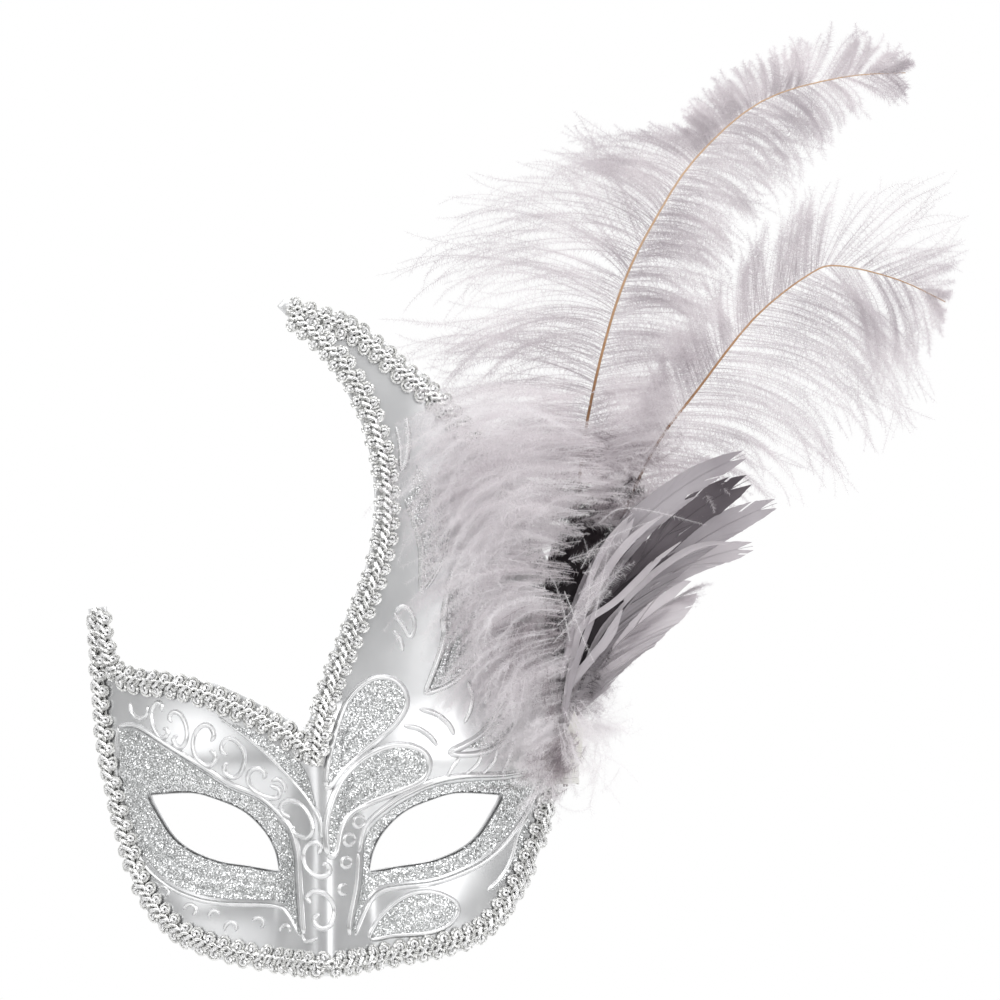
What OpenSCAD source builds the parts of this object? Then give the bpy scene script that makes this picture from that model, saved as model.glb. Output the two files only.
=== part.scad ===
// Venetian half mask: a moulded shell with one tall horn, edged with metallic braid, decorated with
// glitter and raised piping, and dressed at one temple with ostrich plumes, marabou and goose blades.
// The origin is midway between the wearer's eyes, at eye height. +Z is up, +X is the plumed side and
// -Y is the side that people see. The wearer's face lies on the +Y side.

/* [Overall size] */
// Width of the shell across the temples, measured straight
mask_w = 177; // [145:1:215]
// Height of the horn tip above the eye line
horn_h = 193; // [160:1:235]
// Drop from the eye line to the lower edge over the nose
cheek_drop = 49; // [40:1:60]
// How far the shell would wrap back at its full half width
wrap_depth = 75; // [62:1:90]

/* [Shell] */
// Thickness of the moulded shell
shell_t = 1.4; // [1:0.1:2.4]
// How far the nose stands out at the lower edge
nose_out = 14; // [8:1:18]
// Half width of the nose at the lower edge
nose_half_w = 22; // [18:1:28]
// How far the brow stands out
brow_out = 3; // [0:0.5:5]
// How far the horn's middle stands out
horn_out = 4; // [0:0.5:6]

/* [Eye openings] */
// Width of each eye opening
eye_w = 46.5; // [38:0.5:56]
// Height of each eye opening
eye_h = 27; // [22:0.5:33]
// Distance from the middle to the inner corner of each eye opening
eye_in = 16.5; // [14:0.5:20]

/* [Trim] */
// Width of the braid
braid_w = 8.5; // [7:0.1:10.2]
// Thickness of the braid
braid_t = 3.2; // [2:0.1:4.5]
// Thickness of the glitter coat
glitter_t = 0.6; // [0.4:0.1:1]
// Width of the raised piping
pipe_w = 1.3; // [0.8:0.1:1.6]
// Height of the raised piping
pipe_t = 0.9; // [0.5:0.1:1.5]
// Width of the satin ribbon
ribbon_w = 10; // [8:0.5:12]
// Thickness of the folded ribbon and of the felt patch
cloth_t = 1; // [0.6:0.1:1.4]

/* [Feathers] */
// Length of the tall plume's quill
tall_l = 275; // [230:1:330]
// Length of the side plume's quill
side_l = 225; // [185:1:270]
// Radius of a plume's quill at its root
quill_r = 1.6; // [1.2:0.1:2]
// Length of the longest goose blade
blade_l = 126; // [105:1:152]
// Number of goose blades
blade_n = 6; // [4:1:6]
// Depth of the marabou fluff
fluff_t = 12; // [8:0.5:15]
// Depth of the tall plume's barbs
tall_t = 24; // [16:1:30]
// How far the tall plume leans back at its tip
tall_lean = 15; // [10:1:20]

/* [Fits] */
// Glue line under the glitter, felt and ribbon, which follow the shell
glue_gap = 0.15; // [0.1:0.05:0.3]
// Glue line under the braid and the piping, which bridge small hollows
trim_gap = 0.5; // [0.4:0.1:0.8]
// Clearance between pieces that lie or sway side by side
sway_gap = 1; // [0.6:0.1:1.5]

/* [Hidden] */

silver = "#c8c9cc";
braid_silver = "#b4b4b4";
plume_grey = "#d0c8cc";
fluff_grey = "#c4bcc0";
blade_grey = "#8a848c";
quill_brown = "#9a6a40";

// The outlines below are drawn for these sizes and are fitted to the ones above
drawn_w = 177;
drawn_horn = 193;
drawn_drop = 49;
horn_base = 60; // above this height only the horn and the left tip are left
wrap_half = 100; // half width, as drawn, at which the shell would face sideways
wrap_stop = 96; // beyond this the surface is level, outside every outline
mid_out = 12; // the shell's middle stands this far in front of the origin
grid = 5; // spacing of the points that make up the curved surfaces
cut_far = 70; // the outline cutters reach this far to each side

// ---- fitting drawn points to the chosen sizes ----
function fit_z(z) =
    z < 0 ? z * cheek_drop / drawn_drop
    : z < horn_base ? z
    : horn_base + (z - horn_base) * (horn_h - horn_base) / (drawn_horn - horn_base);
// Across, points keep their place between the middle, the two corners of the eye and the side edge
eye_drawn_in = 16.5;
eye_drawn_w = 46.5;
eye_drawn_h = 27;
eye_drawn_out = eye_drawn_in + eye_drawn_w;
fit_table = [[0, 0], [eye_drawn_in, eye_in], [eye_drawn_out, eye_in + eye_w], [drawn_w / 2, mask_w / 2]];
function eye_fit_x(x) = sign(x) * (lookup(abs(x), fit_table) + max(0, abs(x) - drawn_w / 2));
// Above the eyes the fit passes over to a plain stretch, which the whole horn keeps
eye_zone = 30;
function eye_share(z) = max(0, min(1, (horn_base - z) / (horn_base - eye_zone)));
function fit_x(x, z) =
    let (wide = x * mask_w / drawn_w) wide + eye_share(z) * (eye_fit_x(x) - wide);
function fit(p) = [fit_x(p[0], p[1]), fit_z(p[1])];
function fitted(pts) = [for (p = pts) fit(p)];

// ---- smooth curves through a few points ----
function mixed(a, b, c, d, t) =
    0.5 * (2 * b + (c - a) * t + (2 * a - 5 * b + 4 * c - d) * t * t
    + (3 * b - a - 3 * c + d) * t * t * t);
function open_curve(p, n = 3) = concat(
    [for (i = [0:len(p) - 2], k = [0:n - 1])
        mixed(p[max(i - 1, 0)], p[i], p[i + 1], p[min(i + 2, len(p) - 1)], k / n)],
    [p[len(p) - 1]]);
function closed_curve(p, n = 3) =
    let (m = len(p))
    [for (i = [0:m - 1], k = [0:n - 1])
        mixed(p[(i + m - 1) % m], p[i], p[(i + 1) % m], p[(i + 2) % m], k / n)];

// ---- the shell's front surface, as a depth over X and Z ----
function hump(d, w) = exp(-pow(d / w, 2));
function arch(d, w) = abs(d) < w ? (1 + cos(180 * d / w)) / 2 : 0;
function nose_share(z) = max(0, min(1, (drawn_horn / 4 - z) / (drawn_horn / 4 + drawn_drop)));
function front_y(x, z) =
    let (u = x * drawn_w / mask_w, a = min(abs(u), wrap_stop) / wrap_half, n = nose_share(z))
    -mid_out
    + wrap_depth * (1 - sqrt(1 - a * a))
    + 0.0008 * pow(max(0, z - horn_base), 2)
    - nose_out * sqrt(n) * arch(u, nose_half_w * (0.55 + 0.45 * n))
    - brow_out * hump(z - 27, 12) * (1 - hump(u, 14))
    - horn_out * hump(u - 42, 22) * (1 - hump(max(0, z - 40), 40))
    + 2 * hump(abs(u) - 38, 20) * hump(z, 14)
    - 3 * hump(abs(u) - 42, 20) * hump(z + 28, 14);
function surf_normal(x, z) =
    let (e = 0.5,
        fx = (front_y(x + e, z) - front_y(x - e, z)) / (2 * e),
        fz = (front_y(x, z + e) - front_y(x, z - e)) / (2 * e))
    [fx, -1, fz] / norm([fx, -1, fz]);
// A point standing h in front of the surface; below zero it is behind
function surf(p, h) = [p[0], front_y(p[0], p[1]), p[1]] + h * surf_normal(p[0], p[1]);

// ---- a curved slab from height lo to height hi, over a box of the grid ----
module slab(box, lo, hi) {
    i0 = floor(box[0][0] / grid) - 1;
    i1 = ceil(box[1][0] / grid) + 1;
    j0 = floor(box[0][1] / grid) - 1;
    j1 = ceil(box[1][1] / grid) + 1;
    nx = i1 - i0;
    nz = j1 - j0;
    w = nz + 1;
    n = (nx + 1) * w;
    function at(i, j) = i * w + j;
    front = [for (i = [i0:i1], j = [j0:j1]) surf([i * grid, j * grid], hi)];
    back = [for (i = [i0:i1], j = [j0:j1]) surf([i * grid, j * grid], lo)];
    front_faces = [for (i = [0:nx - 1], j = [0:nz - 1]) each [
        [at(i, j), at(i, j + 1), at(i + 1, j + 1)],
        [at(i, j), at(i + 1, j + 1), at(i + 1, j)]]];
    back_faces = [for (f = front_faces) [n + f[0], n + f[2], n + f[1]]];
    low_high = [for (i = [0:nx - 1]) each [
        [at(i, 0), at(i + 1, 0), n + at(i + 1, 0), n + at(i, 0)],
        [at(i + 1, nz), at(i, nz), n + at(i, nz), n + at(i + 1, nz)]]];
    sides = [for (j = [0:nz - 1]) each [
        [at(0, j + 1), at(0, j), n + at(0, j), n + at(0, j + 1)],
        [at(nx, j), at(nx, j + 1), n + at(nx, j + 1), n + at(nx, j)]]];
    polyhedron(concat(front, back), concat(front_faces, back_faces, low_high, sides));
}

// The 2D children stood up and pushed through from front to back
module cutter() {
    translate([0, cut_far, 0]) rotate([90, 0, 0]) linear_extrude(2 * cut_far) children();
}

function low(pts) = [min([for (p = pts) p[0]]), min([for (p = pts) p[1]])];
function high(pts) = [max([for (p = pts) p[0]]), max([for (p = pts) p[1]])];

// A curved sheet that follows the shell, with the 2D children as its outline
module sheet(pts, lo, hi) {
    resize([0, 0, 0]) intersection() {
        slab([low(pts), high(pts)], lo, hi);
        cutter() children();
    }
}

// A flat piece with the 2D children as its outline, its front at depth y
module flat_piece(y, t) {
    translate([0, y + t, 0]) rotate([90, 0, 0]) linear_extrude(t) children();
}

// ---- a skin over rings of the same number of points ----
module skin(rings) {
    m = len(rings[0]);
    n = len(rings);
    walls = [for (i = [0:n - 2], k = [0:m - 1])
        let (a = i * m + k, b = i * m + (k + 1) % m) each [[a, a + m, b], [b, a + m, b + m]]];
    near = [for (k = [1:m - 2]) [0, k, k + 1]];
    far = [for (k = [1:m - 2]) [(n - 1) * m, (n - 1) * m + k + 1, (n - 1) * m + k]];
    polyhedron([for (r = rings) each r], concat(walls, near, far));
}
function heading(p, i) =
    let (d = p[min(i + 1, len(p) - 1)] - p[max(i - 1, 0)]) d / norm(d);
// A bead of the given profile along a line on the shell: profile points are [side, height]
module bead(line, profile, gap) {
    skin([for (i = [0:len(line) - 1])
        let (h = heading(line, i), n = surf_normal(line[i][0], line[i][1]),
            along = surf(line[i] + h, 0) - surf(line[i] - h, 0), side = cross(n, along / norm(along)))
        [for (q = profile) surf(line[i], gap + q[1]) + side * q[0]]]);
}
// Share of the whole lean that a quill has reached at the share s of its length
function leaned(s) = 1 - cos(90 * max(0, s - lean_from) / (1 - lean_from));
// A round rod along a line from depth y, thinning from r0 to r1 and leaning back by lean at its end
module rod(line, y, r0, r1, lean = 0, sides = 8) {
    n = len(line) - 1;
    skin([for (i = [0:n])
        let (h = heading(line, i), r = r0 + (r1 - r0) * i / n)
        [for (k = [0:sides - 1]) let (a = -360 * k / sides)
            [line[i][0] - h[1] * r * cos(a), y + lean * leaned(i / n) + r * sin(a),
                line[i][1] + h[0] * r * cos(a)]]]);
}

// ---- outlines and lines, drawn as [x, z] ----
shell_line = concat(
    open_curve([[-87, 81], [-86, 66], [-84.5, 50], [-81.5, 25], [-75.5, 1], [-69, -19], [-63, -29.5],
        [-53, -38.5], [-41, -43.5], [-25, -47], [-8, -49], [8, -48.7], [25, -46.2], [41, -43.5],
        [54, -39.5], [64, -32], [71, -22], [77, -8], [81.5, 4], [84, 14], [87, 26], [90, 42],
        [88.5, 64], [83, 90], [74, 114], [61.5, 137], [46.5, 156], [33, 168], [15, 182.5],
        [-5, 190.5], [-15, 193]]),
    open_curve([[-17.5, 190.5], [-8, 181], [4, 166], [14, 146], [18, 122], [15.3, 98.5],
        [7, 76.5], [-1.8, 52], [-6.5, 39]]),
    open_curve([[-8, 39.5], [-20.5, 46.5], [-39, 55], [-54, 58], [-68, 59.5], [-74.5, 62],
        [-78.5, 70], [-80.5, 82]]));
eye_low = -12; // height of the inner corner
eye_shape = concat(
    open_curve([[0, 0], [1.5, 7], [5.5, 14], [12.5, 20.5], [21.5, 24.5], [31.5, 27], [46.5, 26]]),
    open_curve([[45.5, 23.5], [38.5, 12.5], [31.5, 7], [21.5, 3.2], [10.5, 1.6], [1, 0]]));
eye_line = [for (p = eye_shape)
    [eye_in + p[0] * eye_w / eye_drawn_w, eye_low + p[1] * eye_h / eye_drawn_h]];

temple_left_line = [[-84, 79], [-82.8, 66], [-81.5, 50], [-80, 36], [-77.5, 22], [-72.5, 1], [-68.3, -13]];
brow_line = [[-76, 56.5], [-66, 55], [-54, 53.5], [-43, 50.6], [-31, 46], [-20, 40.5], [-12, 35.5]];
horn_inner_line = [[-2.3, 25.5], [-1.6, 38], [1.4, 51], [6, 63], [11, 75], [16, 87], [19.5, 98],
    [22, 110], [22.6, 121], [21.5, 132], [18.3, 146], [13, 159], [7, 168.5], [4.5, 171.5]];
horn_outer_line = [[-13.5, 189.5], [-5, 187], [6, 183.2], [14, 178.3], [29, 165.5], [44, 152.5],
    [58, 134.5], [70, 112], [79, 88], [84, 64], [85.6, 44]];
jaw_line = [[-66.3, -17.5], [-60, -27], [-51, -34.8], [-40, -39.4], [-25, -43], [-8, -45], [8, -44.7],
    [25, -42.2], [40, -39.5], [52, -36], [61, -29.3], [68, -19.5], [72.3, -11]];
temple_right_line = [[73.9, -7], [77.5, 3], [79.8, 12], [80.6, 16]];

eye_field_left = concat(
    open_curve([[-75, 38], [-68, 38], [-57, 31.5], [-44, 24], [-33.5, 17.5], [-23, 13.3],
        [-16.2, 6.5], [-12.2, 1.4], [-10, -6], [-9.4, -16], [-8, -35]]),
    open_curve([[-12.6, -27], [-17.6, -23.6], [-36.4, -23], [-47, -21.2], [-57, -16.6],
        [-66, -8], [-72, 9], [-74.5, 24]]));
eye_field_right = concat(
    open_curve([[13.3, -3.2], [15.8, 3], [24.5, 10.8], [31.7, 15.1], [39.6, 18.4], [50, 20.2],
        [64.8, 20.5], [74, 22]]),
    open_curve([[75.4, 17.6], [72, 8.6], [64.8, -1.8], [57.2, -8.3], [48.6, -12.6], [38.9, -15.8],
        [28, -17], [20.5, -18.4], [15.5, -23], [10.4, -34.6]]),
    open_curve([[10, -30], [12.6, -17], [13.3, -6]]));
petal_upper = closed_curve([[1.2, 18], [3.2, 33.5], [8.3, 48], [16.2, 55.8], [23.8, 56.5], [28.4, 52.4],
    [29.2, 46.8], [25.2, 40.3], [17.6, 33.5], [8.3, 25.6]]);
petal_lower = closed_curve([[2, -6], [1, 1.4], [2.2, 10], [6.2, 20], [13.3, 27.4], [22, 31.8],
    [29.5, 32.5], [35.3, 30.2], [37.4, 26], [35.3, 20.5], [28, 16.8], [16.2, 12.2], [9, 7.9],
    [6, 2.9], [4.4, -5]]);
petal_cheek = closed_curve([[16.6, -36.6], [18, -32], [23.8, -25.2], [31, -20.9], [38.9, -20.2],
    [45.7, -23], [47.9, -26.6], [45.5, -31], [40, -34], [33, -35], [25, -35.4]]);
brow_wedge = concat(
    open_curve([[-37, 41.2], [-30, 37], [-21, 30.2], [-14, 23.2], [-6.5, 15.2], [-2, 9]]),
    open_curve([[-5.2, 21], [-8.5, 26.5], [-15, 31.4], [-24, 37], [-31, 40]]));
flame_1 = concat(
    open_curve([[28.8, 120], [32.8, 111.6], [35.3, 102], [35, 87.5]]),
    open_curve([[38.5, 91.8], [43, 101], [44, 112], [41, 124], [33, 134]]));
flame_2 = concat(
    open_curve([[46, 95], [43.2, 79.6], [43.2, 69.8], [36.7, 51.5]]),
    open_curve([[43.6, 54.4], [50, 59], [55.4, 64.8], [59, 73], [58, 86], [52, 97]]));
flame_3 = concat(
    open_curve([[65, 62], [64.4, 55], [60.5, 43.6], [55.4, 36.4], [45, 30.4]]),
    open_curve([[58.3, 31], [66, 35], [71, 43], [72, 55]]));
cheek_edge = concat(
    open_curve([[72.8, 6], [69.4, 0], [67, -9], [63.4, -15.5], [58.6, -20]]),
    open_curve([[60.4, -20.6], [66.4, -13.6], [70, -6.5], [73.8, 3]]));
scrolls = [[[-60, 44], 4.2], [[-51.5, 39.5], 4], [[-43, 34.5], 4.2], [[-33, 29], 4.4], [[-20.5, 19.5], 4.4]];

// ---- the feathers: each is drawn from the root and grows with its own length ----
root = fit([86.5, 24]);
root_z = root[1];
stub_rise = 14; // the feet of the quills reach this far above the root
foot_drop = 8; // and this far below it
stub_top = root_z + stub_rise;
glue_in = 4; // the glue lies this far inside the quills
root_front = front_y(root[0] - glue_in, root_z);
fluff_at = [30, 100]; // where the fluff comes closest to the horn
fluff_back = front_y(fit_x(fluff_at[0], fluff_at[1]), fluff_at[1]) - 1.5;
// Between the fluff and the temple lie, from front to back, the blades, the side plume and the tall one
room = root_front - fluff_back;
blade_room = 0.38 * room;
side_front = fluff_back + blade_room + sway_gap;
side_t = 0.28 * room;
side_y = side_front + side_t / 2 - quill_r;
tall_front = side_front + side_t + sway_gap;
braid_room = 5.5; // the tall quill sways past the braid on the horn's edge
tall_y = root_front - braid_room - quill_r;
lean_from = 0.3; // share of a quill's length below which it stands upright
blade_t = 0.8;
tall_drawn_l = 275;
side_drawn_l = 225;
blade_drawn_l = 126;
function grown(pts, size) =
    [for (p = pts) [root[0] + p[0] * size, stub_top + sway_gap + p[1] * size]];
tall_line = grown(open_curve([[0, 0], [1.5, 42], [4.5, 82], [8, 110], [14.5, 139], [22, 162], [32, 182],
    [47, 205], [71, 226], [100, 235], [124, 237]], 4), tall_l / tall_drawn_l);
tall_vane_line = grown(closed_curve([[3, 92], [-20, 104], [-46, 112], [-57, 122], [-58, 142], [-49, 178],
    [-24, 200], [-4, 207], [12, 223], [44, 222], [54, 231], [84, 246], [102, 251], [118, 249],
    [126, 240], [122, 229], [98, 217], [84, 203], [68, 188], [58, 172], [52, 150], [45, 127],
    [30, 108], [12, 95]]), tall_l / tall_drawn_l);
side_line = grown(open_curve([[2, 0], [9, 38], [18, 68], [25.5, 87], [34.5, 104], [47.5, 121], [68, 147],
    [88, 163], [99, 166], [120, 161], [137, 153]], 4), side_l / side_drawn_l);
side_vane_line = grown(closed_curve([[22, 78], [27, 104], [37, 130], [56, 158], [80, 182], [106, 194],
    [137, 202], [141, 188], [142, 176], [137, 152], [129, 134], [119, 113], [106, 104], [99, 90],
    [84, 91], [60, 84], [38, 76]]), side_l / side_drawn_l);
// Each blade: tip as drawn, half width and bow to one side
blades = [[[24, 76], 3.5, -5], [[64.5, 98], 5.5, -20], [[66, 89], 6.5, -14], [[76, 80.5], 6, -14],
    [[67.5, 65], 5, -16], [[46.5, 50.3], 9, -6]];
function blade_mid(b, s) = s * b[0] + 4 * s * (1 - s) * b[2] * [b[0][1], -b[0][0]] / norm(b[0]);
function blade_edge(b, s, side) =
    blade_mid(b, s) + side * (0.9 + b[1] * sin(180 * pow(s, 0.8))) * [b[0][1], -b[0][0]] / norm(b[0]);
blade_steps = 12;
blade_front = fluff_back + 2 * sway_gap;
blade_pitch = (blade_room - 2 * sway_gap) / len(blades);

fluff_upper = [[31, 149], [35, 132], [60, 122], [99, 123], [101, 140], [94, 153], [84, 164], [63, 178],
    [42, 178], [31, 166]];
fluff_middle = [[37, 127], [42, 106], [47, 86], [55, 72], [88, 70], [95, 86], [99, 106], [99, 119],
    [60, 118]];
fluff_lower = [[57, 65], [62, 54], [67, 40], [72, 26], [76, 12], [80, 15], [82.5, 28], [83, 50], [88, 62]];

// ---- sub-parts ----
module eye_holes() {
    polygon(eye_line);
    mirror([1, 0]) polygon(eye_line);
}

module shell() {
    pts = fitted(shell_line);
    color(silver) sheet(pts, -shell_t, 0) difference() {
        polygon(pts);
        eye_holes();
    }
}

braid_drawn_w = 8.5;
braid_section = [[-1, 0], [-1, 0.5], [-0.5, 1], [0.5, 1], [1, 0.5], [1, 0]];
// A braid keeps its inner edge in place and grows to the outer side of its line: 1 is left, -1 is right
module braid(line, outer) {
    shift = outer * (braid_w - braid_drawn_w) / 2;
    profile = [for (q = braid_section) [q[0] * braid_w / 2 + shift, q[1] * braid_t]];
    color(braid_silver) bead(open_curve(fitted(line)), profile, trim_gap);
}

pipe_room = pipe_w / 2 + trim_gap;
module glitter(line, edge = pipe_room) {
    pts = fitted(line);
    color("#d6dadb") sheet(pts, glue_gap, glue_gap + glitter_t) difference() {
        offset(delta = -edge) polygon(pts);
        offset(delta = pipe_room) eye_holes();
    }
}

pipe_profile = [[-pipe_w / 2, 0], [0, pipe_t], [pipe_w / 2, 0]];
// Every second point is enough for so thin a bead
function thinned(line) = [for (i = [0:2:len(line) - 1]) line[i]];
module pipe(line, ends = true) {
    pts = thinned(fitted(line));
    loop = ends ? pts : concat(pts, [pts[0]]);
    color(silver) bead(loop, pipe_profile, trim_gap);
}
function ring_line(c, r, from, to) =
    [for (a = [from:(to - from) / 8:to]) c + r * [cos(a), sin(a)]];

module piping_left() {
    pipe(open_curve([[-75, 39.5], [-68, 39.5], [-57, 33], [-44, 25.5], [-33.5, 19], [-23, 14.8],
        [-15, 7.5], [-10.8, 1.8], [-8.6, -6], [-8, -16], [-6.8, -34]]));
    for (s = scrolls) pipe(ring_line(s[0], s[1], -60, 200));
}
module piping_right() {
    pipe(petal_upper, false);
    pipe(petal_lower, false);
    pipe(petal_cheek, false);
}
module piping_horn() {
    pipe(open_curve([[28.8, 120], [32.8, 111.6], [35.3, 102], [35, 87.5], [38.5, 91.8], [43, 101]]));
    pipe(open_curve([[46, 95], [43.2, 79.6], [43.2, 69.8], [36.7, 51.5], [43.6, 54.4], [50, 59], [58, 70]]));
    pipe(open_curve([[64.4, 57], [60.5, 43.6], [55.4, 36.4], [45, 30.4], [58.3, 31], [66, 35]]));
}

module plume_quill(line, y, lean) {
    color(quill_brown) rod(line, y, quill_r, quill_r / 4, lean);
}
module plume_vane(line, y, t) {
    color(plume_grey) flat_piece(y, t) polygon(line);
}

module blade(i) {
    b = blades[i];
    size = blade_l / blade_drawn_l;
    left = [for (k = [0:blade_steps]) blade_edge(b, k / blade_steps, -1)];
    right = [for (k = [blade_steps:-1:0]) blade_edge(b, k / blade_steps, 1)];
    y = blade_front + i * blade_pitch;
    if (i < blade_n)
        color(blade_grey) flat_piece(y, blade_t) polygon(grown(concat(left, right), size));
}

module fluff(line) {
    color(fluff_grey) flat_piece(fluff_back - fluff_t, fluff_t) polygon(closed_curve(fitted(line)));
}

blade_stub_r = blade_pitch / 2 - 0.1;
stub_ys = concat([tall_y, side_y], [for (i = [0:blade_n - 1]) blade_front + (i + 0.5) * blade_pitch]);
bind_wall = 0.8;
bind_drop = 6; // the binding starts this far below the root
bind_slack = 0.3;
bundle_front = blade_front - bind_slack;
bundle_back = tall_y + quill_r + bind_slack;
bundle_y = (bundle_front + bundle_back) / 2;
bundle_half_y = (bundle_back - bundle_front) / 2;
bundle_half_x = quill_r + 2.5;
module oval(half_x, half_y) {
    polygon([for (a = [0:10:350]) [half_x * cos(a), half_y * sin(a)]]);
}
module quill_stubs() {
    color(quill_brown) for (i = [0:len(stub_ys) - 1])
        translate([root[0] + (i < 2 ? 0 : (i % 2) - 0.5), stub_ys[i], root_z - foot_drop])
            cylinder(h = stub_rise + foot_drop, r = i < 2 ? quill_r : blade_stub_r, $fn = 16);
}
bind_h = 11;
module quill_binding() {
    color("#dcdad6") translate([root[0], bundle_y, root_z - bind_drop]) linear_extrude(bind_h) difference() {
        oval(bundle_half_x + bind_wall, bundle_half_y + bind_wall);
        oval(bundle_half_x, bundle_half_y);
    }
}
module spot(c, r) {
    translate(c) circle(r = r, $fn = 32);
}
// The glue fills the wedge between the shell and the nearest side of the binding
glue_at = [root[0] - glue_in, root_z];
glue_out = surf_normal(glue_at[0], glue_at[1]);
bind_reach = norm([(bundle_half_x + bind_wall) * glue_out[0], (bundle_half_y + bind_wall) * glue_out[1]]);
bind_from = [root[0] - glue_at[0], bundle_y - root_front] * [glue_out[0], glue_out[1]];
glue_top = bind_from - bind_reach - glue_gap;
glue_r = 4.5;
module glue_pad() {
    color("#e8e4d8") sheet([glue_at - [glue_r, glue_r], glue_at + [glue_r, glue_r]], glue_gap, glue_top)
        spot(glue_at, glue_r);
}
felt_at = fit([78, 32]);
felt_r = 9;
module felt_patch() {
    reach = [felt_r, felt_r];
    color("#e4e4e4") sheet([felt_at - reach, felt_at + reach], -shell_t - glue_gap - cloth_t,
        -shell_t - glue_gap) spot(felt_at, felt_r);
}
// The glued end of a ribbon tie, inside the temple on one side: -1 is left, 1 is right
ribbon_glued = 14; // length of the glued end
ribbon_out = 9; // how far its middle lies outside the eye opening
ribbon_up = 9; // and above the eye line
module ribbon_end(side) {
    c = [side * (eye_in + eye_w + ribbon_out), ribbon_up];
    half = [ribbon_glued, ribbon_w] / 2;
    color("#efece4") sheet([c - half, c + half], -shell_t - glue_gap - cloth_t, -shell_t - glue_gap)
        translate(c) square([ribbon_glued, ribbon_w], center = true);
}
// The fold's outline, drawn from the root of the quills
fold_line = [[-1, 6], [2, 5.5], [5.5, 14], [4.6, 23], [3.5, 23.5]];
module ribbon_fold() {
    color("#efece4") flat_piece(bundle_front - bind_wall - cloth_t, cloth_t)
        polygon([for (p = fold_line) root + p]);
}

shell();
braid(temple_left_line, -1);  // braid_temple_left
braid(brow_line, 1);  // braid_brow
braid(horn_inner_line, 1);  // braid_horn_inner
braid(horn_outer_line, 1);  // braid_horn_outer
braid(jaw_line, -1);  // braid_jaw
braid(temple_right_line, -1);  // braid_temple_right
glitter(eye_field_left);  // glitter_eye_left
glitter(eye_field_right);  // glitter_eye_right
glitter(petal_upper);  // glitter_petal_upper
glitter(petal_lower);  // glitter_petal_lower
glitter(petal_cheek);  // glitter_petal_cheek
glitter(brow_wedge);  // glitter_brow_wedge
glitter(flame_1);  // glitter_flame_1
glitter(flame_2);  // glitter_flame_2
glitter(flame_3);  // glitter_flame_3
glitter(cheek_edge, trim_gap / 2);  // glitter_cheek_edge
piping_left();
piping_right();
piping_horn();
plume_quill(tall_line, tall_y, tall_lean);  // tall_quill
plume_vane(tall_vane_line, tall_front, tall_t);  // tall_vane
plume_quill(side_line, side_y, 0);  // side_quill
plume_vane(side_vane_line, side_front, side_t);  // side_vane
blade(0);  // blade_1
blade(1);  // blade_2
blade(2);  // blade_3
blade(3);  // blade_4
blade(4);  // blade_5
blade(5);  // blade_6
fluff(fluff_upper);  // marabou_upper
fluff(fluff_middle);  // marabou_middle
fluff(fluff_lower);  // marabou_lower
quill_stubs();
quill_binding();
glue_pad();
felt_patch();
ribbon_end(-1);  // ribbon_left
ribbon_end(1);  // ribbon_right
ribbon_fold();
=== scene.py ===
"""Venetian half mask with plumes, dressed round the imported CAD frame. Lengths are in millimetres
until mesh() turns them into metres. +X is the plumed side, -Y is the side people see, +Z is up."""

import math

import bpy
import numpy as np
from mathutils.geometry import delaunay_2d_cdt
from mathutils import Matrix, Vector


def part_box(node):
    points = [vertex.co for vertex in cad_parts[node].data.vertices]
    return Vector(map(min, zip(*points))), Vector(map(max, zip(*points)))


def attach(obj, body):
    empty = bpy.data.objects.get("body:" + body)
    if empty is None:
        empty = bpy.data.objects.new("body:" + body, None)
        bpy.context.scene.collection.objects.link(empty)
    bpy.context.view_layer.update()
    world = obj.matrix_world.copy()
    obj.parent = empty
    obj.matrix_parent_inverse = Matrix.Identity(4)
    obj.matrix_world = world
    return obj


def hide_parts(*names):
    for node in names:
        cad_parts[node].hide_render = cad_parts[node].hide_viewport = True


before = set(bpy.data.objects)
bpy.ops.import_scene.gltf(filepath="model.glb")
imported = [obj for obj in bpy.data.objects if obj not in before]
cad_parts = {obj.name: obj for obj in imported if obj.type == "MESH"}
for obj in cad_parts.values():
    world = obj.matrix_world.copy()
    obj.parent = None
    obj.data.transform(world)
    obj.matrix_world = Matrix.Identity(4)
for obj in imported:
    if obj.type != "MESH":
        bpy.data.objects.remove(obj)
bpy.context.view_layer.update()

MM = 0.001
FULL = 2 * math.pi


# ---------------------------------------------------------------- curves and the shell's surface
def unit(v):
    return v / np.maximum(np.linalg.norm(v, axis=-1, keepdims=True), 1e-9)


def curve(points, n=3, closed=False):
    """A smooth curve through a few points, the same one as the CAD's."""
    p = np.array(points, float)
    m = len(p)
    out = []
    for i in range(m if closed else m - 1):
        if closed:
            a, b, c, d = p[i - 1], p[i], p[(i + 1) % m], p[(i + 2) % m]
        else:
            a, b, c, d = p[max(i - 1, 0)], p[i], p[i + 1], p[min(i + 2, m - 1)]
        square, cube = 2 * a - 5 * b + 4 * c - d, 3 * b - a - 3 * c + d
        for t in np.arange(n) / n:
            out.append(0.5 * (2 * b + (c - a) * t + square * t * t + cube * t**3))
    if not closed:
        out.append(p[-1])
    return np.array(out)


def lengths_along(p):
    """How far along a line each of its points lies."""
    return np.concatenate([[0], np.cumsum(np.linalg.norm(np.diff(p, axis=0), axis=1))])


def pick(at, along, p):
    """Points at places at of a line p, whose own points lie at along."""
    return np.stack([np.interp(at, along, p[:, k]) for k in range(p.shape[1])], -1)


def at_share(p, n):
    """n points spread evenly along a line."""
    along = lengths_along(p)
    return pick(np.linspace(0, along[-1], n), along, p)


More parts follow.
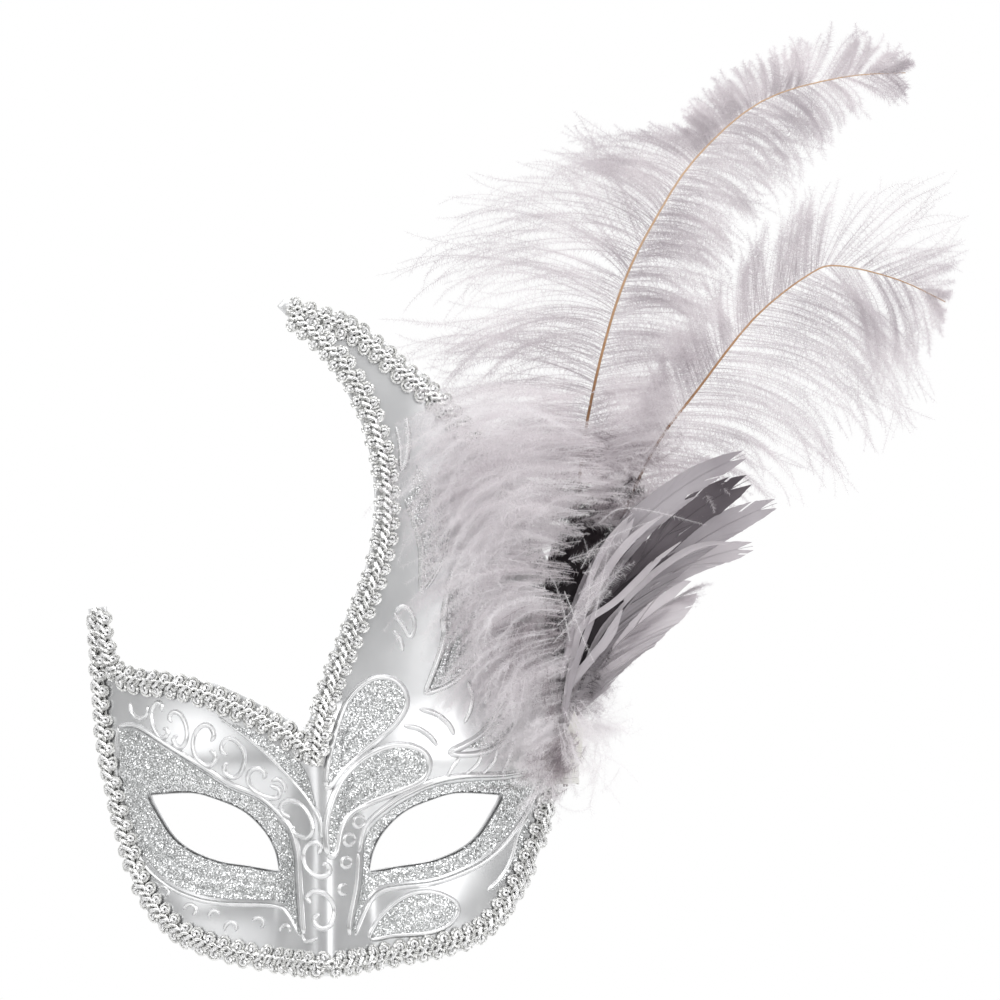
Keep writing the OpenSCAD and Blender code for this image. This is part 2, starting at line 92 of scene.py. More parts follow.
def resample(p, step):
    """Points about step apart along a line."""
    return at_share(p, max(int(lengths_along(p)[-1] / step), 2) + 1)


# the shell's shape, the same sizes as the CAD's
MID_OUT, WRAP_DEPTH, WRAP_HALF, WRAP_STOP = 12, 75, 100, 96
HORN_BASE, HORN_TOP, DROP = 60, 193, 49
NOSE_OUT, NOSE_HALF_W, BROW_OUT, HORN_OUT = 14, 22, 3, 4
SHELL_T = 1.4


def hump(d, w):
    return np.exp(-((d / w) ** 2))


def arch(d, w):
    return np.where(np.abs(d) < w, (1 + np.cos(np.pi * d / w)) / 2, 0)


def front_y(x, z):
    """Depth of the shell's front surface, by the CAD's formula."""
    a = np.minimum(np.abs(x), WRAP_STOP) / WRAP_HALF
    n = np.clip((HORN_TOP / 4 - z) / (HORN_TOP / 4 + DROP), 0, 1)
    return (
        -MID_OUT
        + WRAP_DEPTH * (1 - np.sqrt(1 - a * a))
        + 0.0008 * np.maximum(0, z - HORN_BASE) ** 2
        - NOSE_OUT * np.sqrt(n) * arch(x, NOSE_HALF_W * (0.55 + 0.45 * n))
        - BROW_OUT * hump(z - 27, 12) * (1 - hump(x, 14))
        - HORN_OUT * hump(x - 42, 22) * (1 - hump(np.maximum(0, z - 40), 40))
        + 2 * hump(np.abs(x) - 38, 20) * hump(z, 14)
        - 3 * hump(np.abs(x) - 42, 20) * hump(z + 28, 14)
    )


def shell_normal(x, z):
    e = 0.5
    fx = (front_y(x + e, z) - front_y(x - e, z)) / (2 * e)
    fz = (front_y(x, z + e) - front_y(x, z - e)) / (2 * e)
    return unit(np.stack([fx, -np.ones_like(fx), fz], -1))


def surf(p, h=0.0):
    """Points [x, z] put on the shell, h in front of it."""
    p = np.asarray(p, float)
    x, z = p[..., 0], p[..., 1]
    h = np.asarray(h, float)
    return np.stack([x, front_y(x, z), z], -1) + h[..., None] * shell_normal(x, z)


def inside(points, polygon):
    """Which points lie in a closed polygon."""
    x, z = points[:, 0][:, None], points[:, 1][:, None]
    a, b = polygon, np.roll(polygon, -1, 0)
    cross = (a[:, 1] > z) != (b[:, 1] > z)
    with np.errstate(divide="ignore", invalid="ignore"):
        at = a[:, 0] + (z - a[:, 1]) * (b[:, 0] - a[:, 0]) / (b[:, 1] - a[:, 1])
    return (np.sum(cross & (x < at), axis=1) % 2) == 1


def distance_to(points, line):
    """Distance from each point to a polyline."""
    a, b = line[:-1], line[1:]
    ab = b - a
    out = np.full(len(points), 1e9)
    for i in range(len(a)):
        t = np.clip(((points - a[i]) @ ab[i]) / max(ab[i] @ ab[i], 1e-9), 0, 1)
        out = np.minimum(out, np.linalg.norm(points - a[i] - t[:, None] * ab[i], axis=1))
    return out


def ring_normals(loop):
    """Outward normals of a closed 2D loop."""
    d = np.roll(loop, -1, 0) - np.roll(loop, 1, 0)
    n = unit(np.stack([d[:, 1], -d[:, 0]], 1))
    area = np.sum(loop[:, 0] * np.roll(loop[:, 1], -1) - np.roll(loop[:, 0], -1) * loop[:, 1])
    return n if area > 0 else -n


# ---------------------------------------------------------------- meshes
def in_scene(name, data):
    """A new object in the scene, from a mesh, a light or a camera."""
    ob = bpy.data.objects.new(name, data)
    bpy.context.collection.objects.link(ob)
    return ob


def mesh(name, verts, faces, mats, smooth=True, index=None):
    """An object from points in millimetres and arrays of triangles or quads."""
    faces = [np.asarray(f) for f in faces if len(f)]
    me = bpy.data.meshes.new(name)
    loops = np.concatenate([f.reshape(-1) for f in faces]).astype(np.int32)
    sizes = np.concatenate([np.full(len(f), f.shape[1]) for f in faces])
    me.vertices.add(len(verts))
    me.vertices.foreach_set("co", (np.asarray(verts) * MM).astype(np.float32).reshape(-1))
    me.loops.add(len(loops))
    me.loops.foreach_set("vertex_index", loops)
    me.polygons.add(len(sizes))
    starts = np.concatenate([[0], np.cumsum(sizes)[:-1]])
    me.polygons.foreach_set("loop_start", starts.astype(np.int32))
    me.polygons.foreach_set("loop_total", sizes.astype(np.int32))
    me.polygons.foreach_set("use_smooth", np.full(len(sizes), smooth))
    if index is not None:
        me.polygons.foreach_set("material_index", np.asarray(index, np.int32))
    me.update(calc_edges=True)
    me.validate()
    for m in mats if isinstance(mats, (list, tuple)) else [mats]:
        me.materials.append(m)
    return in_scene(name, me)


def dress(ob, cad, body="mask"):
    """Says which body a piece rides on and which CAD node it replaces."""
    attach(ob, body)
    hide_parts(cad)


def box_mm(node_name):
    """The lower and upper corner of a CAD node, in millimetres."""
    return [np.array(v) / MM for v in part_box(node_name)]


class Pile:
    """Gathers verts and faces of many shapes into one mesh."""

    def __init__(self):
        self.verts, self.faces, self.count, self.index = [], [], 0, []

    def add(self, verts, faces, index=0):
        verts = np.asarray(verts, float).reshape(-1, 3)
        for f in faces:
            f = np.asarray(f)
            if len(f):
                self.faces.append(f + self.count)
                self.index.append(np.full(len(f), index))
        self.verts.append(verts)
        self.count += len(verts)

    def make(self, name, mats, smooth=True):
        return mesh(name, np.concatenate(self.verts), self.faces, mats, smooth, np.concatenate(self.index))


def tubes(paths, radius, sides=4, ref=(0, 1, 0), caps=False):
    """Tubes along many paths of the same number of points: (n, k, 3), with radius (n, k) or less."""
    paths = np.asarray(paths, float)
    n, k, _ = paths.shape
    t = unit(np.gradient(paths, axis=1))
    ref = np.broadcast_to(np.asarray(ref, float), paths.shape)
    u = unit(np.cross(t, ref))
    v = np.cross(u, t)
    a = np.arange(sides) * FULL / sides
    r = np.broadcast_to(np.asarray(radius, float), (n, k))[..., None, None]
    round_it = r * u[:, :, None] * np.cos(a)[:, None], r * v[:, :, None] * np.sin(a)[:, None]
    ring = paths[:, :, None] + round_it[0] + round_it[1]
    i = np.arange(n)[:, None, None] * k * sides + np.arange(k - 1)[:, None] * sides
    j = np.arange(sides)
    a0, b0 = i + j, i + (j + 1) % sides
    faces = [np.stack([a0, b0, b0 + sides, a0 + sides], -1).reshape(-1, 4)]
    if caps:
        first = np.arange(n)[:, None] * k * sides
        faces.append((first + np.arange(sides)[::-1]).reshape(n, sides))
        faces.append((first + (k - 1) * sides + np.arange(sides)).reshape(n, sides))
    return ring.reshape(-1, 3), faces


def patch(loops, step, lo, hi, rim=0.3, bump=None):
    """A curved sheet on the shell: the first loop is its outline and the others are holes.
    Its front is hi and its back lo from the shell, and its rim is rounded by rim."""
    insets = []
    for i, loop in enumerate(loops):
        n = ring_normals(loop) * (1 if i == 0 else -1)
        insets.append((loop - rim * n, n))
    edge = [q for q, _ in insets]
    lo_c, hi_c = edge[0].min(0), edge[0].max(0)
    gx = np.arange(lo_c[0] + step * 0.37, hi_c[0], step)
    gz = np.arange(lo_c[1] + step * 0.37, hi_c[1], step * 0.87)
    grid = np.stack(np.meshgrid(gx, gz), -1)
    grid[1::2, :, 0] += step / 2
    grid = grid.reshape(-1, 2)
    good = inside(grid, edge[0])
    for e in edge[1:]:
        good &= ~inside(grid, e)
    grid = grid[good]
    near = np.full(len(grid), 1e9)
    for e in edge:
        near = np.minimum(near, distance_to(grid, np.concatenate([e, e[:1]])))
    grid = grid[near > 0.45 * step]
    pts = np.concatenate(edge + [grid])
    rows, start = [], 0
    for e in edge:
        m = len(e)
        rows += [(start + i, start + (i + 1) % m) for i in range(m)]
        start += m
    out = delaunay_2d_cdt([tuple(p) for p in pts], rows, [], 0, 1e-5)
    pts = np.array([tuple(p) for p in out[0]])
    tris = np.array([f for f in out[2] if len(f) == 3])
    mid = pts[tris].mean(1)
    ok = inside(mid, edge[0])
    for e in edge[1:]:
        ok &= ~inside(mid, e)
    tris = tris[ok]
    h = np.full(len(pts), float(hi))
    if bump is not None:
        h = h + bump(pts)
    front, back = surf(pts, h), surf(pts, np.full(len(pts), float(lo)))
    a = pts[tris]
    turn = np.cross(a[:, 1] - a[:, 0], a[:, 2] - a[:, 0])
    tris = np.where((turn > 0)[:, None], tris, tris[:, ::-1])
    n = len(pts)
    verts, faces, index = [front, back], [tris, tris[:, ::-1] + n], [0] * len(tris) + [1] * len(tris)
    base = 2 * n
    key = {tuple(np.round(p, 4)): i for i, p in enumerate(pts)}
    for i, (q, normal) in enumerate(insets):
        ids = np.array([key.get(tuple(np.round(p, 4)), -1) for p in q])
        use = ids >= 0
        q, normal, ids = q[use], normal[use], ids[use]
        m = len(q)
        out_p = q + rim * normal
        depth = hi - lo
        ring1 = surf(out_p, np.full(m, hi - 0.25 * depth))
        ring2 = surf(out_p, np.full(m, lo + 0.25 * depth))
        verts += [ring1, ring2]
        r1, r2 = base + np.arange(m), base + m + np.arange(m)
        base += 2 * m
        area = np.sum(q[:, 0] * np.roll(q[:, 1], -1) - np.roll(q[:, 0], -1) * q[:, 1])
        flip = (area > 0) != (i > 0)
        for s, t in [(ids, r1), (r1, r2), (r2, ids + n)]:
            quad = np.stack([s, np.roll(s, -1), np.roll(t, -1), t], 1)
            faces.append(quad[:, ::-1] if (flip if i == 0 else not flip) else quad)
            index += [0] * m
    return np.concatenate(verts), faces, index


# ---------------------------------------------------------------- materials
def nodes_of(name):
    m = bpy.data.materials.new(name)
    m.use_nodes = True
    nt = m.node_tree
    return m, nt, nt.nodes["Principled BSDF"]


def link(nt, a, b):
    nt.links.new(a, b)


def node(nt, kind, **values):
    n = nt.nodes.new(kind)
    for k, v in values.items():
        if hasattr(n, k):
            setattr(n, k, v)
        else:
            n.inputs[k].default_value = v
    return n


def noise(nt, scale, detail=2.0, rough=0.5):
    coord = node(nt, "ShaderNodeTexCoord")
    n = node(nt, "ShaderNodeTexNoise", Scale=scale, Detail=detail, Roughness=rough)
    link(nt, coord.outputs["Object"], n.inputs["Vector"])
    return n


def ramp(nt, source, stops, socket):
    """Sends a value to a socket as colours, from (place, colour or grey) stops."""
    r = node(nt, "ShaderNodeValToRGB")
    e = r.color_ramp.elements
    while len(e) < len(stops):
        e.new(0.5)
    for el, (place, colour) in zip(e, stops):
        el.position = place
        el.color = (*colour, 1) if hasattr(colour, "__len__") else (colour, colour, colour, 1)
    link(nt, source, r.inputs["Fac"])
    link(nt, r.outputs["Color"], socket)
    return r


def bump(nt, bsdf, source, strength, distance):
    b = node(nt, "ShaderNodeBump", Strength=strength, Distance=distance)
    link(nt, source, b.inputs["Height"])
    link(nt, b.outputs["Normal"], bsdf.inputs["Normal"])


def material(name, low, high, scale, rough=(0.3, 0.4), metallic=0.0, bump_at=None, **sockets):
    """A principled material whose colour and roughness drift with noise, with a fine bump."""
    m, nt, b = nodes_of(name)
    n = noise(nt, scale, 3.0)
    ramp(nt, n.outputs["Fac"], [(0.3, low), (0.7, high)], b.inputs["Base Color"])
    ramp(nt, n.outputs["Fac"], [(0.3, rough[0]), (0.7, rough[1])], b.inputs["Roughness"])
    b.inputs["Metallic"].default_value = metallic
    if bump_at:
        f = noise(nt, bump_at[0], 2.0)
        bump(nt, b, f.outputs["Fac"], bump_at[1], bump_at[2])
    for k, v in sockets.items():
        b.inputs[k.replace("_", " ")].default_value = v
    return m


def shell_material():
    """Pearl silver paint over plastic: fine pigment grain and a soft lacquer."""
    return material(
        "silver_paint", (0.76, 0.765, 0.775), (0.82, 0.825, 0.83), 60, (0.28, 0.34), 0.78,
        (2600, 0.25, 0.00006), Coat_Weight=0.25, Coat_Roughness=0.25,
    )


def inner_material():
    return material(
        "bare_plastic", (0.70, 0.70, 0.70), (0.76, 0.76, 0.75), 90, (0.42, 0.55), 0.0,
        (900, 0.3, 0.0001),
    )


def piping_material():
    return material(
        "piping_paint", (0.78, 0.785, 0.79), (0.86, 0.86, 0.865), 120, (0.16, 0.24), 0.65,
        (1800, 0.12, 0.00005), Coat_Weight=0.5, Coat_Roughness=0.12,
    )


def braid_material(name, low, high, rough):
    return material(name, low, high, 500, rough, 1.0)


def glitter_bed_material():
    return material(
        "glitter_bed", (0.42, 0.43, 0.43), (0.66, 0.67, 0.67), 1400, (0.35, 0.5), 0.6,
        (1500, 0.8, 0.0003),
    )


def flake_material():
    return material("glitter_flakes", (0.80, 0.81, 0.82), (0.95, 0.96, 0.96), 700, (0.14, 0.26), 1.0)


def feather_material(name, low, high, through=0.35, sheen=0.3):
    """Down and barbs: soft colour drift, a little light passing through."""
    m, nt, b = nodes_of(name)
    n = noise(nt, 45, 3.0)
    c = ramp(nt, n.outputs["Fac"], [(0.32, low), (0.68, high)], b.inputs["Base Color"])
    b.inputs["Roughness"].default_value = 0.75
    b.inputs["Sheen Weight"].default_value = sheen
    b.inputs["Sheen Roughness"].default_value = 0.4
    b.inputs["Specular IOR Level"].default_value = 0.25
    if through:
        t = node(nt, "ShaderNodeBsdfTranslucent")
        link(nt, c.outputs["Color"], t.inputs["Color"])
        mix = node(nt, "ShaderNodeMixShader", Fac=through)
        out = nt.nodes["Material Output"]
        link(nt, b.outputs["BSDF"], mix.inputs[1])
        link(nt, t.outputs["BSDF"], mix.inputs[2])
        link(nt, mix.outputs["Shader"], out.inputs["Surface"])
    return m


def quill_material():
    """Horny quill: dark brown and mottled at the foot, tan higher up, pale at the tip."""
    m, nt, b = nodes_of("quill_horn")
    coord = node(nt, "ShaderNodeTexCoord")
    xyz = node(nt, "ShaderNodeSeparateXYZ")
    link(nt, coord.outputs["Object"], xyz.inputs["Vector"])
    height = node(nt, "ShaderNodeMapRange", **{"From Min": 0.03, "From Max": 0.27})
    link(nt, xyz.outputs["Z"], height.inputs["Value"])
    n = noise(nt, 260, 4.0)
    add = node(nt, "ShaderNodeMath", operation="MULTIPLY_ADD")
    add.inputs[1].default_value = 0.25
    link(nt, n.outputs["Fac"], add.inputs[0])
    link(nt, height.outputs["Result"], add.inputs[2])
    stops = [(0.3, (0.05, 0.022, 0.012)), (0.55, (0.16, 0.07, 0.03)), (0.72, (0.42, 0.23, 0.11)),
             (0.95, (0.62, 0.42, 0.27))]
    ramp(nt, add.outputs["Value"], stops, b.inputs["Base Color"])
    b.inputs["Roughness"].default_value = 0.38
    return m


def cloth_material(name, low, high, scale, rough=(0.5, 0.6), sheen=0.4):
    """Woven or felted cloth: crossed fine waves make the weave."""
    m, nt, b = nodes_of(name)
    coord = node(nt, "ShaderNodeTexCoord")
    mul = node(nt, "ShaderNodeMath", operation="MULTIPLY")
    for i, way in enumerate("XZ"):
        threads = node(nt, "ShaderNodeTexWave", Scale=scale, Distortion=0.6)
        threads.bands_direction = way
        link(nt, coord.outputs["Object"], threads.inputs["Vector"])
        link(nt, threads.outputs["Fac"], mul.inputs[i])
    ramp(nt, mul.outputs["Value"], [(0.0, low), (1.0, high)], b.inputs["Base Color"])
    ramp(nt, mul.outputs["Value"], [(0.0, rough[1]), (1.0, rough[0])], b.inputs["Roughness"])
    bump(nt, b, mul.outputs["Value"], 0.3, 0.0001)
    b.inputs["Sheen Weight"].default_value = sheen
    return m


# ---------------------------------------------------------------- the shell
SHELL_LINES = [
    [[-87, 81], [-86, 66], [-84.5, 50], [-81.5, 25], [-75.5, 1], [-69, -19], [-63, -29.5], [-53, -38.5],
     [-41, -43.5], [-25, -47], [-8, -49], [8, -48.7], [25, -46.2], [41, -43.5], [54, -39.5], [64, -32],
     [71, -22], [77, -8], [81.5, 4], [84, 14], [87, 26], [90, 42], [88.5, 64], [83, 90], [74, 114],
     [61.5, 137], [46.5, 156], [33, 168], [15, 182.5], [-5, 190.5], [-15, 193]],
    [[-17.5, 190.5], [-8, 181], [4, 166], [14, 146], [18, 122], [15.3, 98.5], [7, 76.5], [-1.8, 52],
     [-6.5, 39]],
    [[-8, 39.5], [-20.5, 46.5], [-39, 55], [-54, 58], [-68, 59.5], [-74.5, 62], [-78.5, 70],
     [-80.5, 82]],
]
EYE_IN, EYE_LOW = 16.5, -12
EYE_LINES = [
    [[0, 0], [1.5, 7], [5.5, 14], [12.5, 20.5], [21.5, 24.5], [31.5, 27], [46.5, 26]],
    [[45.5, 23.5], [38.5, 12.5], [31.5, 7], [21.5, 3.2], [10.5, 1.6], [1, 0]],
]


def joined(lines, n=5, step=0.9):
    """One closed loop from smooth lines that meet at corners, evenly spaced."""
    p = np.concatenate([curve(line, n) for line in lines])
    return resample(np.concatenate([p, p[:1]]), step)[:-1]


shell_loop = joined(SHELL_LINES, step=1.1)
eye_right_loop = joined(EYE_LINES, step=0.8) + [EYE_IN, EYE_LOW]
eye_left_loop = eye_right_loop * [-1, 1]


def make_shell():
    verts, faces, index = patch([shell_loop, eye_left_loop, eye_right_loop], 1.5, -SHELL_T, 0, 0.35)
    ob = mesh("shell_skin", verts, faces, [shell_material(), inner_material()], True, index)
    dress(ob, "shell")


# ---------------------------------------------------------------- raised piping and scrolls
def bead(pile, line, width, height, lift=-0.08, taper=(1.0, 1.0)):
    """A moulded ridge along a line on the shell, with feet that run into the surface."""
    p = resample(np.asarray(line, float), 0.7)
    q = surf(p)
    n = shell_normal(p[:, 0], p[:, 1])
    t = unit(np.gradient(q, axis=0))
    side = np.cross(n, t)
    k = len(p)
    s = np.linspace(0, 1, k)
    end = np.minimum(1, np.minimum(s, 1 - s) * k / 3.0 + 0.15) ** 0.5
    w = width * end * np.interp(s, [0, 0.5, 1], [taper[0], 1, taper[1]])
    a = np.linspace(-1, 1, 9)
    rise = lift + (0.5 + 0.5 * np.cos(np.pi * a)) ** 0.75 * height * 1.35
    across = side[:, None] * (a * 0.95)[:, None] * w[:, None, None]
    verts = q[:, None] + across + n[:, None] * rise[:, None] * end[:, None, None]
    m = len(a)
    i, j = np.meshgrid(np.arange(k - 1), np.arange(m - 1), indexing="ij")
    v = (i * m + j).reshape(-1)
    quads = np.stack([v, v + 1, v + m + 1, v + m], 1)
    bottom = np.array([[r * m, (r + 1) * m, (r + 1) * m + m - 1, r * m + m - 1] for r in range(k - 1)])
    caps = [np.arange(m)[None, ::-1], (np.arange(m) + (k - 1) * m)[None]]
    pile.add(verts, [quads, bottom] + caps)


def arc(c, r, a0, a1, r1=None):
    """Part of a circle, or of a spiral from r to r1, in degrees."""
    a = np.radians(np.linspace(a0, a1, 24))
    rr = np.linspace(r, r if r1 is None else r1, 24)
    return np.stack([c[0] + rr * np.cos(a), c[1] + rr * np.sin(a)], 1)


PETAL_UPPER = [[1.2, 18], [3.2, 33.5], [8.3, 48], [16.2, 55.8], [23.8, 56.5], [28.4, 52.4], [29.2, 46.8],
               [25.2, 40.3], [17.6, 33.5], [8.3, 25.6]]
PETAL_LOWER = [[2, -6], [1, 1.4], [2.2, 10], [6.2, 20], [13.3, 27.4], [22, 31.8], [29.5, 32.5],
               [35.3, 30.2], [37.4, 26], [35.3, 20.5], [28, 16.8], [16.2, 12.2], [9, 7.9], [6, 2.9],
               [4.4, -5]]
PETAL_CHEEK = [[16.6, -36.6], [18, -32], [23.8, -25.2], [31, -20.9], [38.9, -20.2], [45.7, -23],
               [47.9, -26.6], [45.5, -31], [40, -34], [33, -35], [25, -35.4]]
EYE_LEFT_TOP = [[-75, 38], [-68, 38], [-57, 31.5], [-44, 24], [-33.5, 17.5], [-23, 13.3], [-16.2, 6.5],
                [-12.2, 1.4], [-10, -6], [-9.4, -16], [-8, -35]]
EYE_LEFT_LOW = [[-12.6, -27], [-17.6, -23.6], [-36.4, -23], [-47, -21.2], [-57, -16.6], [-66, -8],
                [-72, 9], [-74.5, 24]]
EYE_RIGHT_TOP = [[13.3, -3.2], [15.8, 3], [24.5, 10.8], [31.7, 15.1], [39.6, 18.4], [50, 20.2],
                 [64.8, 20.5], [74, 22]]
EYE_RIGHT_LOW = [[75.4, 17.6], [72, 8.6], [64.8, -1.8], [57.2, -8.3], [48.6, -12.6], [38.9, -15.8],
                 [28, -17], [20.5, -18.4], [15.5, -23], [10.4, -34.6]]
EYE_RIGHT_IN = [[10, -30], [12.6, -17], [13.3, -6]]
WEDGE = [[[-37, 41.2], [-30, 37], [-21, 30.2], [-14, 23.2], [-6.5, 15.2], [-2, 9]],
         [[-5.2, 21], [-8.5, 26.5], [-15, 31.4], [-24, 37], [-31, 40]]]
FLAME_1 = [[[28.8, 120], [32.8, 111.6], [35.3, 102], [35, 87.5]],
           [[38.5, 91.8], [43, 101], [44, 112], [41, 124], [33, 134]]]
FLAME_2 = [[[46, 95], [43.2, 79.6], [43.2, 69.8], [36.7, 51.5]],
           [[43.6, 54.4], [50, 59], [55.4, 64.8], [59, 73], [58, 86], [52, 97]]]
FLAME_3 = [[[65, 62], [64.4, 55], [60.5, 43.6], [55.4, 36.4], [45, 30.4]],
           [[58.3, 31], [66, 35], [71, 43], [72, 55]]]
CHEEK_EDGE = [[[72.8, 6], [69.4, 0], [67, -9], [63.4, -15.5], [58.6, -20]],
              [[60.4, -20.6], [66.4, -13.6], [70, -6.5], [73.8, 3]]]


# The scrolls run from hook to hook
SCROLLS = [
    [[-70.6, 47.4], [-70.2, 44.2], [-67.6, 41.8], [-64.6, 43], [-64, 46.4]],
    [[-58.8, 44.4], [-59, 47], [-61, 47.4], [-62.6, 44.6], [-62.6, 41.2], [-61.1, 37.3], [-58.8, 34.9],
     [-56.9, 35.9], [-56.7, 38], [-58.3, 38.2]],
    [[-55.2, 40.6], [-56.2, 42.3], [-54.6, 44.3], [-52.1, 43.6], [-50, 39.9], [-49.5, 35.6],
     [-51.1, 31.9], [-53.3, 32.1], [-54.5, 34.6], [-52.9, 35.9]],
    [[-40.8, 33.9], [-39.6, 36.3], [-41.1, 39.3], [-43.8, 39.6], [-46.5, 36.9], [-47.3, 32.3],
     [-45.8, 27.6], [-42.5, 25.3], [-39.8, 26.3], [-39.1, 29.3], [-41.1, 30.6]],
    [[-34.8, 29.3], [-36.8, 30.9], [-36.1, 33.9], [-33.5, 35.1], [-30.2, 32.9], [-28.5, 28.3],
     [-29.8, 23], [-32.8, 21], [-35.5, 22.6], [-35.8, 25.3], [-34.5, 26.3]],
    [[-21.8, 20.6], [-21.2, 22.6], [-23.2, 24.3], [-25.8, 23.9], [-27.4, 21.4], [-26.2, 17.6],
     [-22.2, 14.6], [-17.5, 13.8], [-15.8, 15.3], [-16.4, 17.2], [-19.5, 18.2]],
    [[-18.8, 19.8], [-16.5, 20.6], [-14.3, 18.8], [-13.9, 16]],
    [[-12.2, 7], [-14.8, 8.3], [-15.3, 11.6], [-12.4, 13], [-8.2, 11.6], [-4.9, 7.6], [-3.9, 3],
     [-5.8, 0], [-9.5, 0.6], [-11.2, 2.3], [-10.5, 3.8]],
    [[-1.9, -5.7], [-1, -3], [-3.2, -1.5], [-6, -3], [-7.2, -7], [-5.8, -11.3], [-2.2, -13.7],
     [1.1, -13.3], [2.3, -11.3], [1.1, -9.3], [-0.5, -9.8]],
    [[-4.4, -23.1], [-6, -21.3], [-3.5, -19], [1.1, -20.3], [3.9, -24.9], [2.9, -30.4], [-0.3, -32.3],
     [-3, -30.4], [-3, -28.1], [-1.2, -27.2]],
]


def ridge(pile, points, width, height, taper=(1.0, 1.0)):
    """A bead along a smooth line through a few points."""
    bead(pile, curve(points, 6), width, height, taper=taper)


def make_piping(paint):
    left, right, horn = Pile(), Pile(), Pile()
    # left half: ridge over the glitter, brow ridge, left side, and the scrolls between them
    ridge(left, [[-75, 38.8], [-68, 39], [-57, 32.6], [-44, 25], [-33.5, 18.6], [-23, 14.2],
                 [-15.4, 7.4], [-11, 1.8], [-8.8, -6], [-8.2, -16], [-7, -34.5]], 1.3, 1.0)
    ridge(left, [[-38, 42.8], [-30, 37], [-21, 30.2], [-14, 23.2], [-6.5, 15], [-1.6, 7],
                 [-0.6, 0]], 1.1, 0.9, (0.4, 1))
    ridge(left, [[-75, 38.5], [-76, 24], [-73.2, 9], [-67, -8.6], [-57.5, -17.8], [-47, -22.4],
                 [-36.4, -24.2], [-17.6, -24.8], [-12.6, -28], [-8.4, -35]], 1.0, 0.75)
    for line in SCROLLS:
        ridge(left, line, 1.05, 0.85, (1.1, 1.1))
    # lower left band: small waves
    for c, r, a0, a1 in [((-58, -20.8), 2.6, 150, -60), ((-48, -27), 2.8, 170, -70),
                         ((-39, -28.6), 2.6, 190, 20), ((-33, -33), 2.8, 200, -40),
                         ((-23.4, -31.4), 2.6, 150, -70), ((-13.4, -33.4), 2.4, 200, -30)]:
        bead(left, arc(c, r, a0, a1, r * 0.5), 0.95, 0.7)
    # nose rings
    for c, r in [((12.5, 5.4), 2.0), ((9.1, -0.9), 2.0), ((8.1, -8.9), 1.8)]:
        bead(right, arc(c, r, 0, 355), 0.9, 0.75)
    bead(right, arc((7.3, -18.5), 1.8, 60, 300), 0.9, 0.7)
    for petal, w, h in ((PETAL_UPPER, 1.5, 1.1), (PETAL_LOWER, 1.7, 1.2), (PETAL_CHEEK, 1.3, 0.9)):
        line = curve(petal, 6, True)
        bead(right, np.concatenate([line, line[:2]]), w, h)
    ridge(right, [[12.4, -5.5], [15, 4], [24, 12], [31.4, 16.3], [39.4, 19.6], [50, 21.5],
                  [64.8, 21.8], [75, 23.4]], 1.5, 1.0, (0.7, 0.8))
    ridge(right, [[76.6, 17.6], [73, 8], [65.6, -2.6], [57.8, -9.4], [49, -13.8], [39, -17],
                  [28, -18.2], [21, -19.5], [16.4, -23.6], [11.2, -35]], 1.2, 0.9)
    ridge(right, [[9.4, -35], [9.2, -30], [11.6, -17], [12.2, -6]], 1.1, 0.8)
    ridge(right, CHEEK_EDGE[0], 1.1, 0.8)
    ridge(right, [[-2, -35.6], [-6.4, -37], [-7.6, -34]], 0.9, 0.6)
    # horn: the flames' rims, the small D and the strokes
    ridge(horn, [[28.8, 121], [32.6, 111.6], [35, 102], [34.8, 87]], 1.7, 1.2, (0.5, 0.8))
    ridge(horn, [[34.8, 87], [38.8, 92], [43, 100.4], [45, 110]], 0.8, 0.7)
    ridge(horn, [[46, 96], [42.8, 79.6], [42.8, 69.8], [36, 51]], 1.6, 1.2, (0.7, 0.7))
    ridge(horn, [[36, 51], [43.6, 53.6], [50.6, 58.4], [56, 64.2], [60, 73]], 1.2, 0.9)
    ridge(horn, [[65.4, 64], [65, 57], [61.2, 43.6], [55.6, 35.6], [44.4, 29.8]], 1.6, 1.2, (0.6, 1))
    ridge(horn, [[44.4, 29.8], [50, 29], [58.4, 30.2], [66.4, 34.4]], 1.3, 1.0)
    ridge(horn, [[25.4, 80.2], [27.6, 82.4], [30.4, 81.4], [32.3, 77], [32, 73.4], [30.5, 71.5],
                 [28, 75.8], [25.6, 79], [25.4, 80.2]], 1.0, 0.8)
    ridge(horn, [[24.8, 73.8], [27.2, 70.6], [28.2, 66.4]], 1.1, 0.8)
    ridge(horn, [[34.2, 45.6], [40, 43.8], [44.6, 40], [46.4, 36.2]], 1.2, 0.9)
    ridge(horn, [[28.6, 39.6], [33.6, 38.6], [38, 35.6], [40.4, 32.4]], 1.2, 0.9)
    ridge(horn, [[51.4, 55.4], [53, 50.4], [52.4, 45], [50.2, 40.4]], 1.0, 0.8)
    ridge(horn, [[57.8, 61], [59.4, 56], [59, 51], [57.6, 47.4]], 1.0, 0.8)
    for line in ([[48.8, 28.5], [46.1, 24.6], [43.5, 20.8]], [[56.6, 29.2], [54.6, 25.2], [49.8, 21.4]],
                 [[61.9, 31.1], [61, 26.2], [55.7, 21.4]], [[67.7, 35.7], [67, 28.6], [63.1, 21.4]]):
        ridge(horn, line, 1.0, 0.8, (0.9, 0.5))
    # glitter ridge beside the inner braid, high on the horn
    ridge(horn, [[29.4, 150], [30.2, 141], [29.2, 134], [27.4, 131]], 1.2, 0.9)
    ridge(horn, [[25.6, 147], [27, 140], [27.4, 131]], 0.9, 0.7)
    for cad, pile in (("piping_left", left), ("piping_right", right), ("piping_horn", horn)):
        dress(pile.make(cad + "_skin", paint), cad)


# ---------------------------------------------------------------- glitter
FLAKES_PER_MM2 = 5.0


